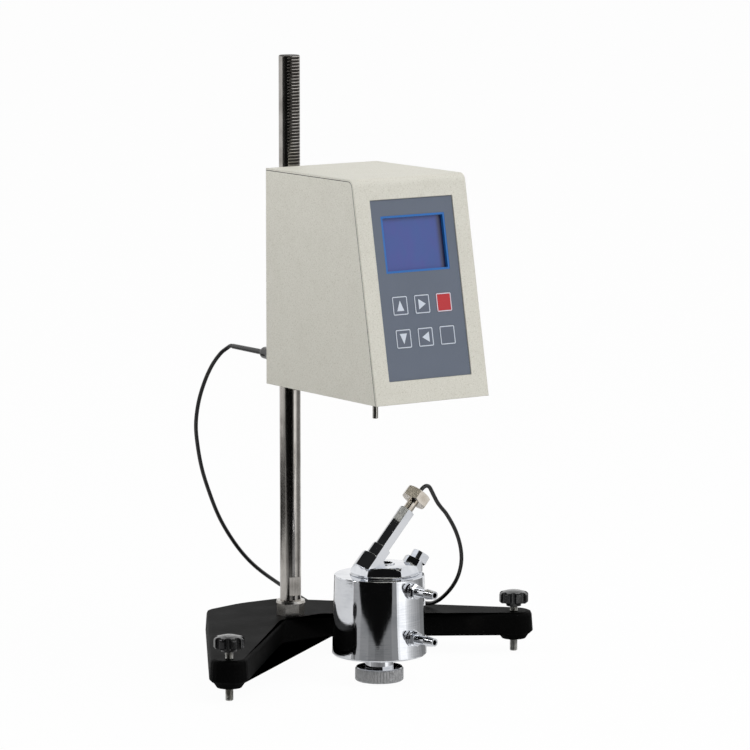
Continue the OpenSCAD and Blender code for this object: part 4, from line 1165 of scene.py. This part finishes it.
@dataclass
class VesselTop:
    """The chromed lid with its port boss, and the hexagon bars that hold the probe, in millimetres."""

    axis: Triple = (4.0, -1.0, 104.5)
    lid_at: Triple = (10.0, -1.0, 104.5)
    flange: float = 34.0
    flange_thick: float = 1.4
    low_edge: Profile = ((0.0, 0.6), (0.2, 0.2), (0.5, 0.0))
    high_edge: Profile = ((0.5, 0.0), (0.2, 0.3), (0.0, 0.8))
    plate_across: float = 59.0
    plate_taper: float = 0.45
    plate_turn: float = 55.4
    plate_top: float = 9.5
    plate_levels: tuple[float, ...] = (3.0, 5.0, 7.0, 8.4, 8.8, 9.1, 9.3)
    plate_cut: float = 0.4
    plate_cut_slope: float = 2.5
    plate_room: float = 33.0
    hole: float = 8.0
    collar: Pair = (2.2, 1.2)
    collar_edge: float = 0.3
    recess: Pair = (17.02, 1.5)
    groove: Triple = (23.0, 25.0, 1.9)
    port_at: Triple = (49.0, -4.0, 116.5)
    port_lean: float = 35.0
    port_across: float = 24.0
    port_corner: float = 0.59
    port_end_corner: float = 0.56
    port_reach: Pair = (-30.0, -4.0)
    port_steps: int = 12
    port_floor: float = 0.4
    port_room: float = 43.4
    nut: Bar = Bar(24.8, -17.0, 0.0, 4.1)
    nut_sunk: float = 0.2
    sleeve: tuple[Bar, ...] = (Bar(18.0, 0.0, 13.0, 5.1, True), Bar(14.5, 12.8, 58.0, 5.1))
    bar_turn: float = 33.0
    corner_slope: float = 0.6
    sides: int = 96

    def ring(self, at: Matrix, z: float, limit: float, turn: float, across: float = 0.0) -> list[Vector]:
        """One round or hexagon ring.

        Args:
            at: Its place.
            z: Its height along the piece.
            limit: Its greatest radius.
            turn: The heading of one flat, in degrees.
            across: The hexagon's width across its flats, or 0 for a round ring.

        Returns:
            Its points, in metres.
        """
        points = []
        for k in range(self.sides):
            heading = 30.0 + 360.0 * k / self.sides
            off = math.radians((heading + 30.0) % 60.0 - 30.0)
            radius = min(limit, across / 2 / math.cos(off)) if across else limit
            a = math.radians(turn + heading)
            points.append(at @ Vector((radius * math.cos(a), radius * math.sin(a), z)) * MM)
        return points

    def finish(self, name: str, node: str, shape: BMesh, chrome: Material) -> None:
        """Finishes the piece of that name, which stands for a CAD node."""
        bmesh.ops.remove_doubles(shape, verts=shape.verts, dist=0.00001)
        settle(mesh_piece(name, shape, chrome, 25.0), "vessel", node)

    def bar(self, at: Matrix, size: Bar) -> list[list[Vector]]:
        """The rings of a hexagon bar with its corners turned off.

        Args:
            at: Its place.
            size: Its sizes.

        Returns:
            The rings, in order round its section.
        """
        flat = size.across / 2
        corner = flat * (1 / math.cos(math.radians(30.0)) - 1)
        rise = self.corner_slope * corner
        shares = [k / 5 for k in range(6)]
        profile = [(size.low, 1.0)]
        if size.both_turned:
            profile = [(size.low + rise * share, share) for share in shares]
        profile += [(size.high - rise * share, share) for share in shares[::-1]]
        rings = [self.ring(at, z, flat + corner * share, self.bar_turn, size.across) for z, share in profile]
        return rings + [self.ring(at, z, size.bore, self.bar_turn) for z in (size.high, size.low)]

    def lid(self, shape: BMesh) -> None:
        """Adds the flange with its hexagon plate, bored, recessed and grooved for its seal.

        Args:
            shape: The lid's mesh.
        """
        at = stand_at(self.lid_at)
        thick, top, ease = self.flange_thick, self.plate_top, self.collar_edge
        rounds = [(z, self.flange - cut) for z, cut in self.low_edge]
        rounds += [(thick - z, self.flange - cut) for z, cut in self.high_edge]
        rings = [self.ring(at, z, radius, self.plate_turn) for z, radius in rounds]
        for z in (thick, *self.plate_levels, top):
            across = self.plate_across - (z - thick) * self.plate_taper * 2
            limit = min(self.plate_room, across / 2 - self.plate_cut + (top - z) * self.plate_cut_slope)
            rings.append(self.ring(at, z, limit, self.plate_turn, across))
        wide, tall = self.hole + self.collar[0], top + self.collar[1]
        lip, lip_deep = self.recess
        inner, outer, deep = self.groove
        rounds = [(top, wide), (tall - ease, wide), (tall, wide - ease), (tall, self.hole + ease),
                  (tall - ease, self.hole), (lip_deep, self.hole), (lip_deep, lip), (0.0, lip),
                  (0.0, inner), (deep, inner), (deep, outer), (0.0, outer)]
        skin(shape, rings + [self.ring(at, z, radius, self.plate_turn) for z, radius in rounds], loop=True)

    def port(self, shape: BMesh) -> None:
        """Adds the port's boss, brought back to the jacket's side and top.

        Args:
            shape: The lid's mesh.
        """
        at = stand_at(self.port_at, self.port_lean)
        low, high = self.port_reach
        rims = []
        for k in range(self.port_steps + 1):
            corner = self.port_corner if k < self.port_steps else self.port_end_corner
            rim = self.ring(at, low + (high - low) * k / self.port_steps, self.port_across * corner,
                            self.bar_turn, self.port_across)
            rims.append([self.trim(point, at.col[2].to_3d()) for point in rim])
        skin(shape, rims)

    def trim(self, point: Vector, way: Vector) -> Vector:
        """Brings a point of the port's boss back to the jacket's side and top.

        Args:
            point: The point, in metres.
            way: The boss's axis.

        Returns:
            The point where it belongs.
        """
        middle = Vector(self.axis) * MM
        floor = middle.z + self.port_floor * MM
        if point.z < floor:
            point = point + way * ((floor - point.z) / way.z)
        out = (point - middle).to_2d()
        room = self.port_room * MM
        if out.length > room:
            out *= room / out.length
        return Vector((middle.x + out.x, middle.y + out.y, point.z))

    def build(self, chrome: Material) -> None:
        """Makes the lid, the boss nut and the sleeve.

        Args:
            chrome: Their finish.
        """
        shape = bmesh.new()
        self.lid(shape)
        self.port(shape)
        self.finish("vessel_cover", "vessel_lid", shape, chrome)
        at = stand_at(PROBE_FOOT, PROBE_LEAN)
        way = at.col[2].to_3d()
        floor = (self.axis[2] + self.plate_top - self.nut_sunk) * MM
        shape = bmesh.new()
        skin(shape, [[point + way * max(0.0, (floor - point.z) / way.z) for point in ring]
                     for ring in self.bar(at, self.nut)], loop=True)
        self.finish("probe_boss_nut", "probe_boss", shape, chrome)
        shape = bmesh.new()
        for size in self.sleeve:
            skin(shape, self.bar(at, size), loop=True)
        self.finish("probe_hexagon_sleeve", "probe_sleeve", shape, chrome)


# Dressing the frame


@dataclass
class Dressing:
    """Gives each carried-over part of a sub-assembly its finish."""

    name: str
    bodies: Sequence[str]

    def apply(self, frame: dict[str, object], finish: dict[str, Material]) -> None:
        """Puts the finishes on.

        Args:
            frame: The loaded frame.
            finish: The materials by slot.
        """
        slots = {part["node"]: part["material_slot"] for part in frame["record"]["subparts"]}
        groups = frame["record"]["behaviour"]["bodies"]
        nodes = [node for body in self.bodies for node in groups[body]]
        for node in nodes:
            for place in frame["nodes"][node].material_slots:
                place.material = finish.get(node, finish[slots[node]])
        LOG.info("%s: %d parts finished", self.name, len(nodes))


SUB_ASSEMBLIES = (
    Dressing("stand", ("stand", "left_screw", "right_screw", "left_handknob", "right_handknob")),
    Dressing("head", ("head", "pinion", "clamp", "rocker", "drive", "spindle")),
    Dressing("keypad", tuple(f"{key}_key" for key in KEYS)),
    Dressing("vessel", ("vessel", "foot")))


def main() -> None:
    """Builds the dressed viscometer."""
    logging.basicConfig(level=logging.INFO, format="%(name)s %(message)s")
    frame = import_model()
    studio = Studio()
    studio.camera()
    finish = finishes()
    for lead in (Lead("head_lead_sheath", "head_lead", "head", HEAD_ROUTE, still=15, moving=1),
                 Lead("vessel_lead_sheath", "vessel_lead", "vessel", VESSEL_ROUTE, still=4, moving=28)):
        lead.build(finish["lead_rubber"])
    studio.build()
    for dressing in SUB_ASSEMBLIES:
        dressing.apply(frame, finish)
    Panel().build(frame["nodes"], finish["print_white"])
    for side in ("left", "right"):
        LevellingStud(side).build(finish["zinc"])
    CoverSeam().build(finish["moulded_black"])
    VesselTop().build(finish["smooth_chrome"])


if __name__ == "__main__":
    main()
